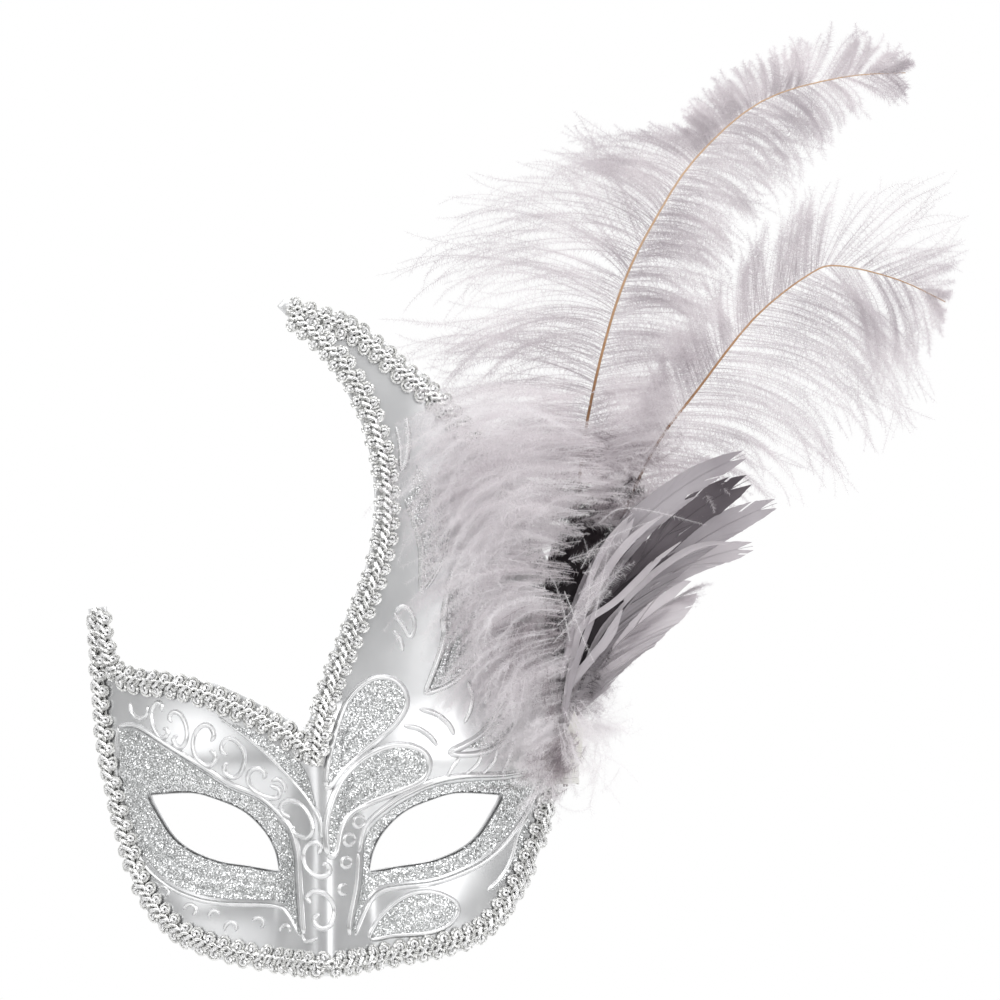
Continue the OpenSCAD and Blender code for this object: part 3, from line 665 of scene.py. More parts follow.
def glitter_height(creases):
    """Coat thickness over the shell: level, with soft grooves along the creases and a grainy swell."""

    def height(p):
        h = 0.12 * np.sin(p[:, 0] * 1.9 + 2 * np.sin(p[:, 1] * 0.9)) * np.sin(p[:, 1] * 2.3)
        for line in creases:
            d = distance_to(p, curve(line, 5))
            h = h - 0.5 * hump(d, 0.8) + 0.32 * hump(d - 1.9, 0.8)
        return h

    return height


def make_glitter(name, loop, cad, bed, flakes, rng, creases, holes, room):
    """A grainy bed on the shell under loose overlapping flakes."""
    n = ring_normals(loop)
    outline = loop - room * n
    height = glitter_height(creases)
    verts, faces, _ = patch([outline, *holes], 1.1, 0.02, 0.45, 0.2, bump=height)
    pile = Pile()
    pile.add(verts, faces, 0)
    lo, hi = outline.min(0), outline.max(0)
    count = int((hi - lo).prod() * FLAKES_PER_MM2)
    p = lo + rng.random((count, 2)) * (hi - lo)
    ok = inside(p, outline)
    for h in holes:
        ok &= ~inside(p, h)
    p = p[ok]
    e = 0.15
    gx = (height(p + [e, 0]) - height(p - [e, 0])) / (2 * e)
    gz = (height(p + [0, e]) - height(p - [0, e])) / (2 * e)
    nrm = shell_normal(p[:, 0], p[:, 1])
    tilt = rng.normal(0, 0.26, (len(p), 3))
    nrm = unit(nrm - np.stack([gx, np.zeros(len(p)), gz], 1) * 0.8 + tilt)
    centre = surf(p, 0.5 + height(p) + rng.random(len(p)) * 0.22)
    u = unit(np.cross(nrm, rng.normal(0, 1, (len(p), 3))))
    v = np.cross(nrm, u)
    r = 0.2 + 0.15 * rng.random(len(p))
    a = np.arange(6) * FULL / 6
    turned = u[:, None] * np.cos(a)[:, None] + v[:, None] * np.sin(a)[:, None]
    ring = centre[:, None] + r[:, None, None] * turned
    pile.add(ring, [np.arange(len(p) * 6).reshape(-1, 6)], 1)
    ob = pile.make(name, [bed, flakes], False)
    dress(ob, cad)


def make_all_glitter():
    bed, flakes = glitter_bed_material(), flake_material()
    rng = np.random.default_rng(7)

    def grown(loop, d):
        return loop + ring_normals(loop) * d

    left = joined([EYE_LEFT_TOP, EYE_LEFT_LOW])
    right = joined([EYE_RIGHT_TOP, EYE_RIGHT_LOW, EYE_RIGHT_IN])
    streaks = [[[-72, 24], [-62, 22], [-50, 21.5], [-38, 20]], [[-71, 16], [-66, 6], [-58, -4]],
               [[-66, 2], [-56, -9], [-44, -14.5], [-30, -16.5], [-18, -17.5]],
               [[-62, -8], [-50, -17], [-36, -20], [-22, -20.6]]]
    streaks_right = [[[30, -13.4], [44, -11.6], [56, -4], [66, 8]], [[70, 10], [71.6, 16], [66, 18.4]],
                     [[40, 16.4], [52, 18], [64, 17.6]]]
    petal_upper, petal_lower, petal_cheek = (
        curve(p, 8, True) for p in (PETAL_UPPER, PETAL_LOWER, PETAL_CHEEK)
    )
    for cad, loop, creases, holes in [
        ("glitter_eye_left", left, streaks, [grown(eye_left_loop, 1.1)]),
        ("glitter_eye_right", right, streaks_right, [grown(eye_right_loop, 1.1)]),
        ("glitter_petal_upper", petal_upper,
         [[[7, 29], [13, 36], [20, 43], [24, 47]], [[6.4, 33], [11, 41.4], [17.4, 48.6]]], []),
        ("glitter_petal_lower", petal_lower,
         [[[10, 12.4], [17, 18.4], [26, 23.4], [32.4, 25.4]], [[7.6, 14.6], [14, 22], [24, 27.8]]], []),
        ("glitter_petal_cheek", petal_cheek, [[[22, -32.4], [30, -28], [38, -26.6], [43, -27.4]]], []),
        ("glitter_brow_wedge", joined(WEDGE), [], []),
        ("glitter_flame_1", joined(FLAME_1), [], []),
        ("glitter_flame_2", joined(FLAME_2), [[[46, 84], [47, 72], [44, 60]]], []),
        ("glitter_flame_3", joined(FLAME_3), [], []),
        ("glitter_cheek_edge", joined(CHEEK_EDGE), [], []),
    ]:
        name = cad.replace("brow_", "") + "_skin"
        # the wedge and the edge strip are narrow, and reach nearer to their outline
        room = 0.15 if cad.endswith("edge") else 0.75
        make_glitter(name, loop, cad, bed, flakes, rng, creases, holes, room)


# ---------------------------------------------------------------- gimp braid
BRAIDS = {
    "braid_temple_left": [[-82.5, 81.5], [-83.2, 75], [-82.8, 66], [-81.5, 50], [-80, 36],
                          [-77.5, 22], [-72.5, 1], [-67.4, -15.5]],
    "braid_brow": [[-80.6, 80], [-79.6, 70], [-77, 60.6], [-72, 56.4], [-66, 55], [-54, 53.5],
                   [-43, 50.6], [-31, 46], [-20, 40.5], [-12, 35.5], [-4, 29.4]],
    "braid_horn_inner": [[-2.3, 25.5], [-1.6, 38], [1.4, 51], [6, 63], [11, 75], [16, 87], [19.5, 98],
                         [22, 110], [22.6, 121], [21.5, 132], [18.3, 146], [13, 159], [7, 168.5],
                         [2, 174.5], [-4.5, 180.6], [-12, 187]],
    "braid_horn_outer": [[-13.5, 189.5], [-5, 187], [6, 183.2], [14, 178.3], [29, 165.5], [44, 152.5],
                         [58, 134.5], [70, 112], [79, 88], [84, 64], [85.6, 44]],
    "braid_jaw": [[-67.6, -14.5], [-65.6, -18.6], [-60, -27], [-51, -34.8], [-40, -39.4], [-25, -43],
                  [-8, -45], [8, -44.7], [25, -42.2], [40, -39.5], [52, -36], [61, -29.3],
                  [68, -19.5], [74.2, -7]],
    "braid_temple_right": [[74, -7.4], [77.5, 3], [79.8, 12], [81.6, 20]],
}
# spacing of the loops, their radius and how far to the side they lie; the tape's half width
PITCH, LOOP_R, LOOP_OUT, TAPE_HALF = 5.3, 1.85, 2.7, 2.6
WIRE_REF = (0.3, 1, 0.2)


def braid_space(line):
    """Turns (along, side, height) beside a braid's middle line into places on the shell."""
    p = resample(curve(line, 6), 0.5)
    q = surf(p)
    along = lengths_along(q)
    n = shell_normal(p[:, 0], p[:, 1])
    t = unit(np.gradient(q, axis=0))
    s = np.cross(n, t)

    def place(local):
        at = local[..., 0]
        over = (at - np.clip(at, 0, along[-1]))[..., None]
        here, ahead, aside, up = (pick(at, along, a) for a in (q, t, s, n))
        return here + ahead * over + aside * local[..., 1:2] + up * local[..., 2:3]

    return place, along[-1]


def wound(core, strands, rho, turns, phase=0.0):
    """Strands wound round core paths (n, k, 3) in local space: (n * strands, k, 3)."""
    k = core.shape[1]
    t = unit(np.gradient(core, axis=1))
    u = unit(np.cross(t, [0.0, 0.0, 1.0]))
    v = np.cross(u, t)
    out = []
    s = np.linspace(0, 1, k)
    for i in range(strands):
        a = FULL * (i / strands + turns * s) + phase
        out.append(core + rho * (u * np.cos(a)[:, None] + v * np.sin(a)[:, None]))
    return np.concatenate(out)


def make_braid(name, line, thread, cord_and_painted_light, rng):
    place, length = braid_space(line)
    pile = Pile()
    count = int(length / PITCH)
    pitch = length / count
    # scallops: a wound cord loops out to each side in turn
    th = np.linspace(0.25, FULL - 0.25, 40)
    for side in (-1, 1):
        t0 = (np.arange(count + 1) + (0.0 if side < 0 else 0.5)) * pitch
        t0 = t0[(t0 > 1) & (t0 < length - 1)]
        r = (LOOP_R + rng.normal(0, 0.1, len(t0)))[:, None]
        lean = rng.normal(0, 0.25, len(t0))[:, None]
        lift = rng.normal(0, 0.15, len(t0))[:, None]
        along = t0[:, None] + r * np.sin(th) + lean * (1 - np.cos(th))
        core = np.stack([along, side * (LOOP_OUT - r * np.cos(th)), 1.25 + lift + 0.45 * np.cos(th)], -1)
        pile.add(*tubes(place(wound(core, 5, 0.42, 9, side)), 0.25, 3, WIRE_REF), 0)
        # a second, tighter turn fills the loop, in the lighter metal: painted light that offsets the shade
        # deep in the loop
        middle = np.stack(np.broadcast_arrays(t0[:, None], side * LOOP_OUT, core[..., 2]), -1)
        core = middle + (core - middle) * 0.45 + [0, 0, 0.45]
        pile.add(*tubes(place(wound(core, 4, 0.4, 5, 0.7)), 0.26, 3, WIRE_REF), 1)
    # two cords plaited down the middle
    t = np.linspace(0, length, int(length / 0.42))
    w = FULL * t / pitch
    for sign, phase, mat in ((1, 0, 1), (-1, np.pi, 0)):
        core = np.stack([t, sign * 1.15 * np.sin(w), 2.1 + 0.55 * np.cos(w + phase)], -1)[None]
        paths = wound(core, 5, 0.5, length / 3.1 * sign, 0.4)
        pile.add(*tubes(place(paths), 0.3, 4, WIRE_REF, caps=True), mat)
    # flat tape that the loops are sewn to
    k = int(length / 1.5)
    t = np.linspace(0, length, k)
    edge = [np.stack([t, np.full(k, s), np.full(k, h)], -1) for s, h in
            ((-TAPE_HALF, 0.55), (-TAPE_HALF, 0.9), (TAPE_HALF, 0.9), (TAPE_HALF, 0.55))]
    ring = place(np.stack(edge, 1)).reshape(-1, 3)
    i = np.arange(k - 1)[:, None] * 4
    j = np.arange(4)
    quads = np.stack([i + j, i + (j + 1) % 4, i + (j + 1) % 4 + 4, i + j + 4], -1).reshape(-1, 4)
    pile.add(ring, [quads, np.array([[0, 3, 2, 1]]), np.array([[0, 1, 2, 3]]) + (k - 1) * 4], 0)
    ob = pile.make(name + "_gimp", [thread, cord_and_painted_light], False)
    dress(ob, name)


def make_braids():
    thread = braid_material("metal_thread", (0.66, 0.66, 0.65), (0.95, 0.95, 0.94), (0.16, 0.3))
    # the lighter copy of the thread serves one middle cord and, as painted light, the fills deep inside the
    # loops
    cord_and_painted_light = braid_material("metal_cord_and_painted_light", (0.82, 0.82, 0.82), (0.97, 0.97, 0.97), (0.2, 0.3))
    rng = np.random.default_rng(3)
    for name, line in BRAIDS.items():
        make_braid(name, line, thread, cord_and_painted_light, rng)


# ---------------------------------------------------------------- feathers
ROOT = np.array([86.5, 24.0])
STUB_TOP = 38.0
SWAY_GAP = 1.0
QUILL_R, FREE_QUILL_R = 1.6, 1.0  # the CAD's quill at its foot, and the bare quill that is seen
TALL_LEAN, LEAN_FROM = 15, 0.3  # how far the tall quill leans back, and from what share of its length
SWAY = (-8, -5, -2, 0, 2, 5, 8)  # degrees that a plume passes through
SHELL_GAP = 3.4
# barbs spread freely within FREE_DEPTH of MID_DEPTH, and then by EXTRA_DEPTH at most
MID_DEPTH, FREE_DEPTH, EXTRA_DEPTH = 2.5, 20.0, 11.0


def quill_y(cad):
    """Depth of a quill's middle line at its foot, where the CAD's box begins."""
    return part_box(cad)[0].y / MM + QUILL_R


def blade_y(cad):
    lo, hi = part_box(cad)
    return (lo.y + hi.y) / 2 / MM


def quill_path(points, y, lean=0.0):
    """A quill's middle line, as in the CAD, from its foot."""
    p = curve(points, 4) + [ROOT[0], STUB_TOP + SWAY_GAP]
    s = np.arange(len(p)) / (len(p) - 1)
    ys = y + lean * (1 - np.cos(np.pi / 2 * np.maximum(0, s - LEAN_FROM) / (1 - LEAN_FROM)))
    return resample(np.stack([p[:, 0], ys, p[:, 1]], 1), 1.5)


def barbs(rng, rachis, side, count, span, lengths, angle, curl, droop=(0.3, 0.3), spread=0.3,
          clump=9, steps=18, jitter=1.0, hook=0.0, wave=0.10, early=1.2):
    """Barb paths (count, steps, 3) along one side of a rachis.
    lengths, angle, curl and droop are (place along the span, value) pairs or two end values: a barb
    leaves at angle from the rachis, has turned outward by curl at its end, and sinks by droop.
    spread is how far barbs fan out in depth, and hook how strongly their last part turns. With early
    below 1 they turn mostly near the rachis."""
    s = np.sort(span[0] + (span[1] - span[0]) * (np.arange(count) + rng.random(count)) / count)
    k = len(rachis) - 1
    base = pick(s * k, np.arange(k + 1), rachis)
    t = unit(pick(s * k, np.arange(k + 1), unit(np.gradient(rachis, axis=0))))
    depth = np.array([0.0, 1.0, 0.0])
    out = unit(np.cross(depth, t)) * side
    group = np.arange(count) // clump
    g = rng.normal(0, 1, (group.max() + 1, 5))[group] * jitter
    own = rng.normal(0, 1, (count, 5)) * jitter
    place = (s - span[0]) / (span[1] - span[0])

    def along(pairs):
        if not hasattr(pairs[0], "__len__"):
            pairs = [(0, pairs[0]), (1, pairs[1])]
        return np.interp(place, [a for a, _ in pairs], [v for _, v in pairs])

    length = along(lengths) * (1 + 0.09 * g[:, 0] + 0.10 * own[:, 0])
    a0 = np.radians(along(angle) + 6 * g[:, 1] + 2 * own[:, 1])
    turn = np.radians(along(curl) + 15 * g[:, 2] + 6 * own[:, 2])
    fan = spread * (0.5 * own[:, 3] + 0.8 * g[:, 3])
    f = np.linspace(0, 1, steps)
    end = np.radians(hook) * (0.6 * g[:, 4] + own[:, 4])
    a = a0[:, None] + turn[:, None] * f[None] ** early + end[:, None] * f[None] ** 5
    a = a + wave * np.sin(f[None] * (9 + 3 * own[:, 1:2]) + 6 * own[:, 2:3]) * f[None]
    d = t[:, None] * np.cos(a)[..., None] + out[:, None] * np.sin(a)[..., None]
    d = d + depth * (fan[:, None] * (0.4 + 0.9 * f))[..., None]
    d[..., 2] -= along(droop)[:, None] * f[None] ** 2 * (0.8 + 0.35 * np.abs(own[:, 0]))[:, None]
    d = unit(d)
    step = (length / (steps - 1))[:, None, None]
    run = np.cumsum(d[:, :-1] * step, axis=1)
    p = base[:, None] + np.concatenate([np.zeros((count, 1, 3)), run], axis=1)
    # feathers lie flat against one another: the depth levels off either side of the middle
    deep = p[..., 1] - MID_DEPTH
    over = np.maximum(0, np.abs(deep) - FREE_DEPTH)
    level = np.sign(deep) * (FREE_DEPTH + EXTRA_DEPTH * np.tanh(over / EXTRA_DEPTH))
    p[..., 1] = MID_DEPTH + np.where(over > 0, level, deep)
    return p


def beside_shell(p, gap, turns=(0,), margin=0.0):
    """Keeps points that lie over the shell at least gap in front of it, or behind it when below zero,
    also when they are turned about the quills' foot by any of turns, in degrees."""
    edge = joined(SHELL_LINES)
    edge = edge + ring_normals(edge) * margin
    q, y, foot = p[..., [0, 2]], p[..., 1], ROOT + [0, STUB_TOP - ROOT[1]]
    for turn in np.radians(turns):
        c, s = np.cos(turn), np.sin(turn)
        w = foot + (q - foot) @ np.array([[c, -s], [s, c]])
        over = inside(w.reshape(-1, 2), edge).reshape(y.shape)
        limit = front_y(w[..., 0], w[..., 1]) - gap
        y = np.where(over, np.minimum(y, limit) if gap > 0 else np.maximum(y, limit), y)
    return np.stack([q[..., 0], y, q[..., 1]], -1)


def kept_in(paths, outline, rng):
    """Shortens barbs that would leave the feather's outline [x, z], drawn from the quill's foot."""
    n, k, _ = paths.shape
    line = curve(outline, 3, True) + [ROOT[0], STUB_TOP + SWAY_GAP]
    out = ~inside(paths[..., [0, 2]].reshape(-1, 2), line).reshape(n, k)
    out[:, :3] = False
    first = np.where(out.any(1), out.argmax(1), k - 1)
    share = np.minimum(1, first / (k - 1) * (0.78 + 0.38 * rng.random(n)))[:, None, None]
    paths = paths[:, :1] + (paths - paths[:, :1]) * share
    # the barbs stand apart towards the tip of the plume
    return paths[rng.random(n) < np.interp(np.arange(n) / n, [0, 0.7, 0.85, 1], [1, 1, 0.6, 0.45])]


def add_fluff(pile, rng, paths, stem=0.16, hair=2.2, hair_w=0.11, gap=0.5, index=0, taper=0.35, lift=0.6):
    """Barbs as thin three-sided stems, with two rows of barbules as fine blades."""
    n, k, _ = paths.shape
    f = np.linspace(0, 1, k)
    radius = stem * (1 - 0.75 * f)[None] * np.ones((n, 1))
    pile.add(*tubes(paths, radius / 1.6, 3, (0.15, 1, 0.1)), index)
    length = np.linalg.norm(np.diff(paths, axis=1), axis=2).sum(1).mean()
    m = max(int(length / gap), 4)
    at = (np.arange(m) + 0.5) / m * (k - 1) * 0.985
    for row in (-1, 1):
        pos = np.clip(at[None] + rng.uniform(-0.5, 0.5, (n, m)) * (k - 1) / m, 0, k - 1.001)
        i = pos.astype(int)
        w = (pos - i)[..., None]
        r = np.arange(n)[:, None]
        p = paths[r, i] * (1 - w) + paths[r, i + 1] * w
        t = unit(paths[r, i + 1] - paths[r, i])
        side = unit(np.cross(t, [0.0, 1.0, 0.0]) + rng.normal(0, 0.45, p.shape))
        s = pos / (k - 1)
        size = hair * (0.55 + 0.9 * rng.random((n, m)))
        size = size * np.interp(s, [0, 0.15, 0.75, 1], [0.5, 1, 1, taper])
        d = unit(row * side + lift * t + rng.normal(0, 0.16, p.shape))
        tip = p + d * size[..., None]
        tip[..., 2] -= 0.10 * size
        half = t * hair_w / 2
        tri = np.stack([p - half, p + half, tip], 2).reshape(-1, 3)
        pile.add(tri, [np.arange(len(tri)).reshape(-1, 3)], index)


TALL_LINE = [[0, 0], [1.5, 42], [4.5, 82], [8, 110], [14.5, 139], [22, 162], [32, 182], [47, 205],
             [71, 226], [100, 235], [124, 237]]
SIDE_LINE = [[2, 0], [9, 38], [18, 68], [25.5, 87], [34.5, 104], [47.5, 121], [68, 147], [88, 163],
             [99, 166], [120, 161], [137, 153]]


TALL_VANE = [[3, 92], [-20, 92], [-46, 100], [-58, 116], [-59, 142], [-50, 178], [-30, 199], [-4, 207],
             [12, 219], [44, 220], [54, 231], [84, 246], [102, 251], [118, 249], [126, 240],
             [122, 229], [98, 217], [84, 203], [68, 188], [58, 172], [52, 150], [45, 127], [30, 108],
             [12, 86]]
SIDE_VANE = [[14, 60], [12, 90], [27, 118], [37, 140], [56, 164], [80, 184], [106, 196], [137, 202],
             [142, 188], [143, 172], [138, 150], [131, 132], [121, 110], [106, 98], [92, 86], [70, 82],
             [46, 76], [30, 62]]


def make_quill(plume, path, mat):
    radius = FREE_QUILL_R * (1 - 0.8 * np.linspace(0, 1, len(path)) ** 0.6)
    ob = mesh(f"{plume}_plume_quill", *tubes(path[None], radius[None], 10, (0, 1, 0), caps=True), mat)
    dress(ob, f"{plume}_quill", f"{plume}_plume")


def make_plumes(horn):
    pale = feather_material("ostrich_down", (0.62, 0.575, 0.605), (0.84, 0.80, 0.82))
    rng = np.random.default_rng(11)
    tall = quill_path(TALL_LINE, quill_y("tall_quill"), TALL_LEAN)
    side = quill_path(SIDE_LINE, quill_y("side_quill"))
    make_quill("tall", tall, horn)
    make_quill("side", side, horn)

    # Per row of barbs: plume, side, counts, where it starts, lengths, angles, curls and droops, then
    # spread, clump, hook, wave and early, as barbs() takes them
    rows = [
        ("tall", -1, (280, 100), 0.3,
         [(0, 60), (0.15, 74), (0.4, 82), (0.6, 82), (0.72, 62), (0.85, 34), (1, 15)],
         [(0, 78), (0.4, 76), (0.6, 74), (0.74, 58), (0.85, 42), (1, 26)],
         [(0, 50), (0.4, 42), (0.6, 40), (0.74, 44), (0.85, 16), (1, 4)],
         [(0, 0.7), (0.4, 0.3), (0.6, 0.05), (1, 0.0)], 0.24, 9, 38, 0.1, 0.6),
        ("tall", 1, (260, 110), 0.3,
         [(0, 40), (0.2, 54), (0.5, 62), (0.75, 52), (0.9, 32), (1, 14)],
         [(0, 66), (0.5, 56), (0.8, 40), (1, 24)],
         [(0, 10), (0.5, 36), (0.8, 40), (1, 8)],
         [(0, 0.1), (0.5, 0.5), (0.8, 0.6), (1, 0.1)], 0.24, 9, 34, 0.14, 1.0),
        ("side", -1, (240, 90), 0.3,
         [(0, 36), (0.3, 54), (0.6, 66), (0.8, 50), (1, 14)],
         [(0, 66), (0.4, 52), (0.75, 52), (1, 36)],
         [(0, 20), (0.4, -14), (0.75, -14), (1, -4)],
         [(0, 0.0), (1, 0.05)], 0.22, 8, 24, 0.1, 1.2),
        ("side", 1, (130, 70), 0.3,
         [(0, 24), (0.25, 58), (0.5, 80), (0.72, 70), (0.88, 44), (1, 16)],
         [(0, 56), (0.5, 52), (0.8, 48), (1, 34)],
         [(0, 20), (0.5, 44), (0.8, 40), (1, 10)],
         [(0, 0.2), (0.35, 0.8), (0.8, 0.7), (1, 0.1)], 0.28, 9, 34, 0.24, 1.2),
    ]
    path_of = {"tall": (tall, TALL_VANE), "side": (side, SIDE_VANE)}
    for plume, way, counts, start, lengths, angle, curl, droop, spread, clump, hook, wave, early in rows:
        pile = Pile()
        path, outline = path_of[plume]
        for count, size in zip(counts, (1.0, 0.78)):
            p = barbs(rng, path, way, count, (start, 0.985), [(a, v * size) for a, v in lengths],
                      angle, curl, droop, spread, clump, hook=hook, wave=wave, early=early)
            p = beside_shell(kept_in(p, outline, rng), -SHELL_T - SHELL_GAP, SWAY, 6.0)
            add_fluff(pile, rng, p, 0.17, 2.4, 0.15, 0.42, lift=0.75)
        ob = pile.make(f"{plume}_plume_barbs_{'left' if way < 0 else 'right'}", pale, False)
        dress(ob, f"{plume}_vane", f"{plume}_plume")


# The down is loose tufts. Each is a hidden spine [x, y, z], the side its barbs leave on, how many,
# their (place, length) pairs, angle, curl and droop, and its tint: 0 pale, 1 painted shade, 2 painted
# shadow, 3 mid. Tints 1 and 2 are darker down set where the fluff lies in shade, 2 in the deep hollow.
DOWN = {
    "marabou_upper": [
        ([[101, -4, 118], [99, -8, 136], [95, -10, 160]], -1, 84, [(0, 58), (0.5, 70), (1, 66)],
         (80, 62), (40, 40), (0.7, 0.35), 3),
        ([[94, -5, 104], [93, -10, 124], [90, -12, 150]], -1, 78, [(0, 52), (0.5, 64), (1, 60)],
         (84, 66), (50, 48), (0.9, 0.6), 0),
        ([[86, -6, 104], [79, -11, 128], [71, -12, 152]], -1, 66, [(0, 44), (1, 42)],
         (72, 60), (50, 44), (0.8, 0.7), 0),
        ([[76, -5, 110], [66, -9, 134], [56, -9, 154]], -1, 46, [(0, 36), (1, 28)],
         (60, 56), (50, 44), (0.8, 0.7), 0),
        ([[97, 0, 114], [99, -2, 130], [102, -4, 156]], 1, 90, [(0, 16), (1, 30)],
         (64, 60), (30, 20), (0.3, 0.0), 3),
    ],
    "marabou_middle": [
        ([[84, -3, 60], [85, -7, 84], [89, -9, 114]], -1, 76, [(0, 36), (0.5, 46), (1, 56)],
         (96, 82), (44, 50), (0.9, 0.9), 3),
        ([[82, -6, 58], [80, -11, 80], [81, -13, 104]], -1, 76, [(0, 32), (0.5, 40), (1, 50)],
         (100, 84), (40, 50), (0.9, 0.9), 0),
        ([[78, -5, 62], [74, -10, 86], [70, -12, 110]], -1, 60, [(0, 24), (1, 34)],
         (90, 78), (48, 44), (0.8, 0.8), 0),
        # tint 1 tufts: painted shade, darker down where the fluff lies deep towards the plumes' foot
        ([[86, -3, 54], [84, -8, 70], [82, -10, 84]], -1, 50, [(0, 20), (1, 26)],
         (96, 84), (40, 40), (0.8, 0.8), 1),
        ([[92, 1, 110], [97, 1, 124], [104, 1, 140]], -1, 60, [(0, 20), (1, 26)],
         (80, 70), (40, 40), (0.5, 0.4), 1),
        ([[92, 1, 110], [98, 1, 124], [106, 1, 140]], 1, 60, [(0, 18), (1, 24)],
         (60, 60), (10, 10), (0.0, 0.0), 1),
        ([[84, -10, 66], [88, -12, 84], [92, -13, 104]], 1, 16, [(0, 16), (1, 18)],
         (30, 50), (-10, 20), (0.0, 0.0), 0),
        # dense near-black tufts, tint 2: painted shadow filling the hollow over the quills
        ([[88, 2, 42], [94, 3, 76], [100, 3, 118]], -1, 190, [(0, 9), (0.5, 15), (1, 18)],
         (36, 56), (16, 24), (0.1, 0.2), 2),
        ([[87, 1, 44], [92, 2, 80], [96, 2, 116]], 1, 200, [(0, 9), (0.5, 15), (1, 18)],
         (30, 44), (14, 16), (0.0, 0.0), 2),
    ],
    "marabou_lower": [
        ([[87, -2, 34], [88, -7, 50], [88, -9, 66]], -1, 120, [(0, 22), (0.5, 28), (1, 38)],
         (112, 96), (34, 34), (0.8, 0.8), 0),
        ([[88, -8, 46], [87, -13, 38], [84, -14, 30], [81, -13, 20]], -1, 70, [(0, 14), (1, 11)],
         (36, 26), (16, 20), (0.2, 0.0), 0),
        ([[87, -8, 46], [84, -13, 38], [81, -14, 30], [79, -13, 20]], 1, 80, [(0, 14), (1, 11)],
         (36, 26), (16, 20), (0.2, 0.0), 0),
        # these two tint 1 tufts: painted shade, low in the down
        ([[88, -8, 42], [88, -12, 35], [86, -13, 27], [83, -12, 20]], 1, 70, [(0, 11), (1, 10)],
         (40, 24), (16, 20), (0.2, 0.0), 1),
        ([[84, 2, 34], [80, -4, 40], [76, -7, 44]], 1, 40, [(0, 16), (1, 14)],
         (50, 40), (40, 40), (0.3, 0.2), 1),
        ([[87, 7, 36], [92, 5, 41], [98, 6, 44], [103, 8, 42]], 1, 34, [(0, 10), (1, 12)],
         (48, 30), (30, 20), (0.2, 0.1), 0),
        ([[87, 7, 36], [92, 5, 40], [98, 6, 42], [103, 8, 39]], -1, 30, [(0, 9), (1, 11)],
         (48, 30), (30, 20), (0.0, 0.0), 0),
        ([[88, 7, 34], [92, 6, 33], [97, 7, 28], [100, 8, 22]], 1, 20, [(0, 10), (1, 14)],
         (40, 26), (20, 20), (0.2, 0.1), 0),
    ],
}
# Single long barbs that stray across the others
WISPS = [
    [[98, -14, 112], [106, -17, 117.5], [118, -18, 116.5], [137, -17, 111.5]],
    [[92, -14, 96], [97, -17, 104], [106, -18, 109], [117, -17, 113]],
    [[128, 4, 132], [142, 2, 133], [160, 2, 127], [176, 3, 117]],
    [[124, 4, 128], [140, 2, 129], [156, 2, 126], [170, 3, 121]],
    [[86, -15, 88], [90, -18, 78], [94, -18, 68], [97, -17, 62]],
    [[88, -15, 70], [86, -18, 80], [82, -18, 92], [74, -17, 100]],
    [[84, -12, 40], [92, -14, 41.5], [97, -13, 40], [102, -12, 36]],
    [[93, -13, 76], [95, -17, 88], [95, -18, 99], [93, -17, 107]],
    [[97, -13, 78], [99, -17, 90], [101, -18, 99], [102, -17, 106]],
    [[81, -12, 20], [84, -14, 12], [90, -13, 9], [96, -12, 11]],
    [[86, 6, 30], [94, 5, 26], [102, 6, 17], [107, 8, 10]],
    [[88, 6, 32], [97, 5, 30], [108, 6, 24], [114, 8, 17]],
    [[66, -16, 62], [63, -18, 52], [60, -18, 40], [56, -17, 33]],
    [[72, -15, 58], [70, -18, 46], [65, -18, 34], [58, -17, 27]],
]


def make_down():
    mats = [
        feather_material("marabou_pale", (0.90, 0.875, 0.89), (0.985, 0.97, 0.98), 0.55),
        # the shade and dark down are painted shade: darker copies of the down, set where it lies in shadow
        feather_material("marabou_painted_shade", (0.40, 0.35, 0.375), (0.56, 0.51, 0.535), 0.3),
        feather_material("marabou_painted_shadow", (0.018, 0.012, 0.015), (0.06, 0.048, 0.054), 0.05, 0.02),
        feather_material("marabou_mid", (0.79, 0.755, 0.775), (0.94, 0.91, 0.925), 0.5),
    ]
    rng = np.random.default_rng(23)
    for name, tufts in DOWN.items():
        pile = Pile()
        for spine, side, count, lengths, angle, curl, droop, tint in tufts:
            path = resample(curve(spine, 6), 1.5)
            p = barbs(rng, path, side, count, (0.0, 1.0), lengths, angle, curl, droop, 0.3, 6, 16,
                      1.5, 34, 0.25)
            shift = np.repeat(rng.normal(0, 1, (count // 6 + 1, 1, 3)), 6, axis=0)[:count]
            shift = shift * [2.4, 1.3, 2.6] + rng.normal(0, 1, (count, 1, 3)) * [2.2, 0.8, 2.0]
            p = beside_shell(p + shift, SHELL_GAP)
            # the painted-shadow tufts (tint 2) get wider barbules, so they close into a dark mass
            wide = 0.26 if tint == 2 else 0.14
            add_fluff(pile, rng, p, 0.17, 2.6, wide, 0.45, tint, 0.5, 0.8)
        if name == "marabou_upper":
            p = np.stack([at_share(curve(w, 6), 20) for w in WISPS])
            add_fluff(pile, rng, p, 0.17, 1.5, 0.10, 0.4, 0, 0.3, 0.8)
        ob = pile.make(name + "_down", mats, False)
        dress(ob, name)


# Each blade as in the CAD: tip, half width and bow, then its material and how far it cups forward
BLADES = [([24, 76], 3.5, -5, 2, 2), ([64.5, 98], 5.5, -20, 0, 3), ([66, 89], 6.5, -14, 1, 3),
          ([76, 80.5], 6, -14, 0, 2), ([67.5, 65], 5, -16, 2, 3), ([46.5, 50.3], 9, -6, 3, 3)]
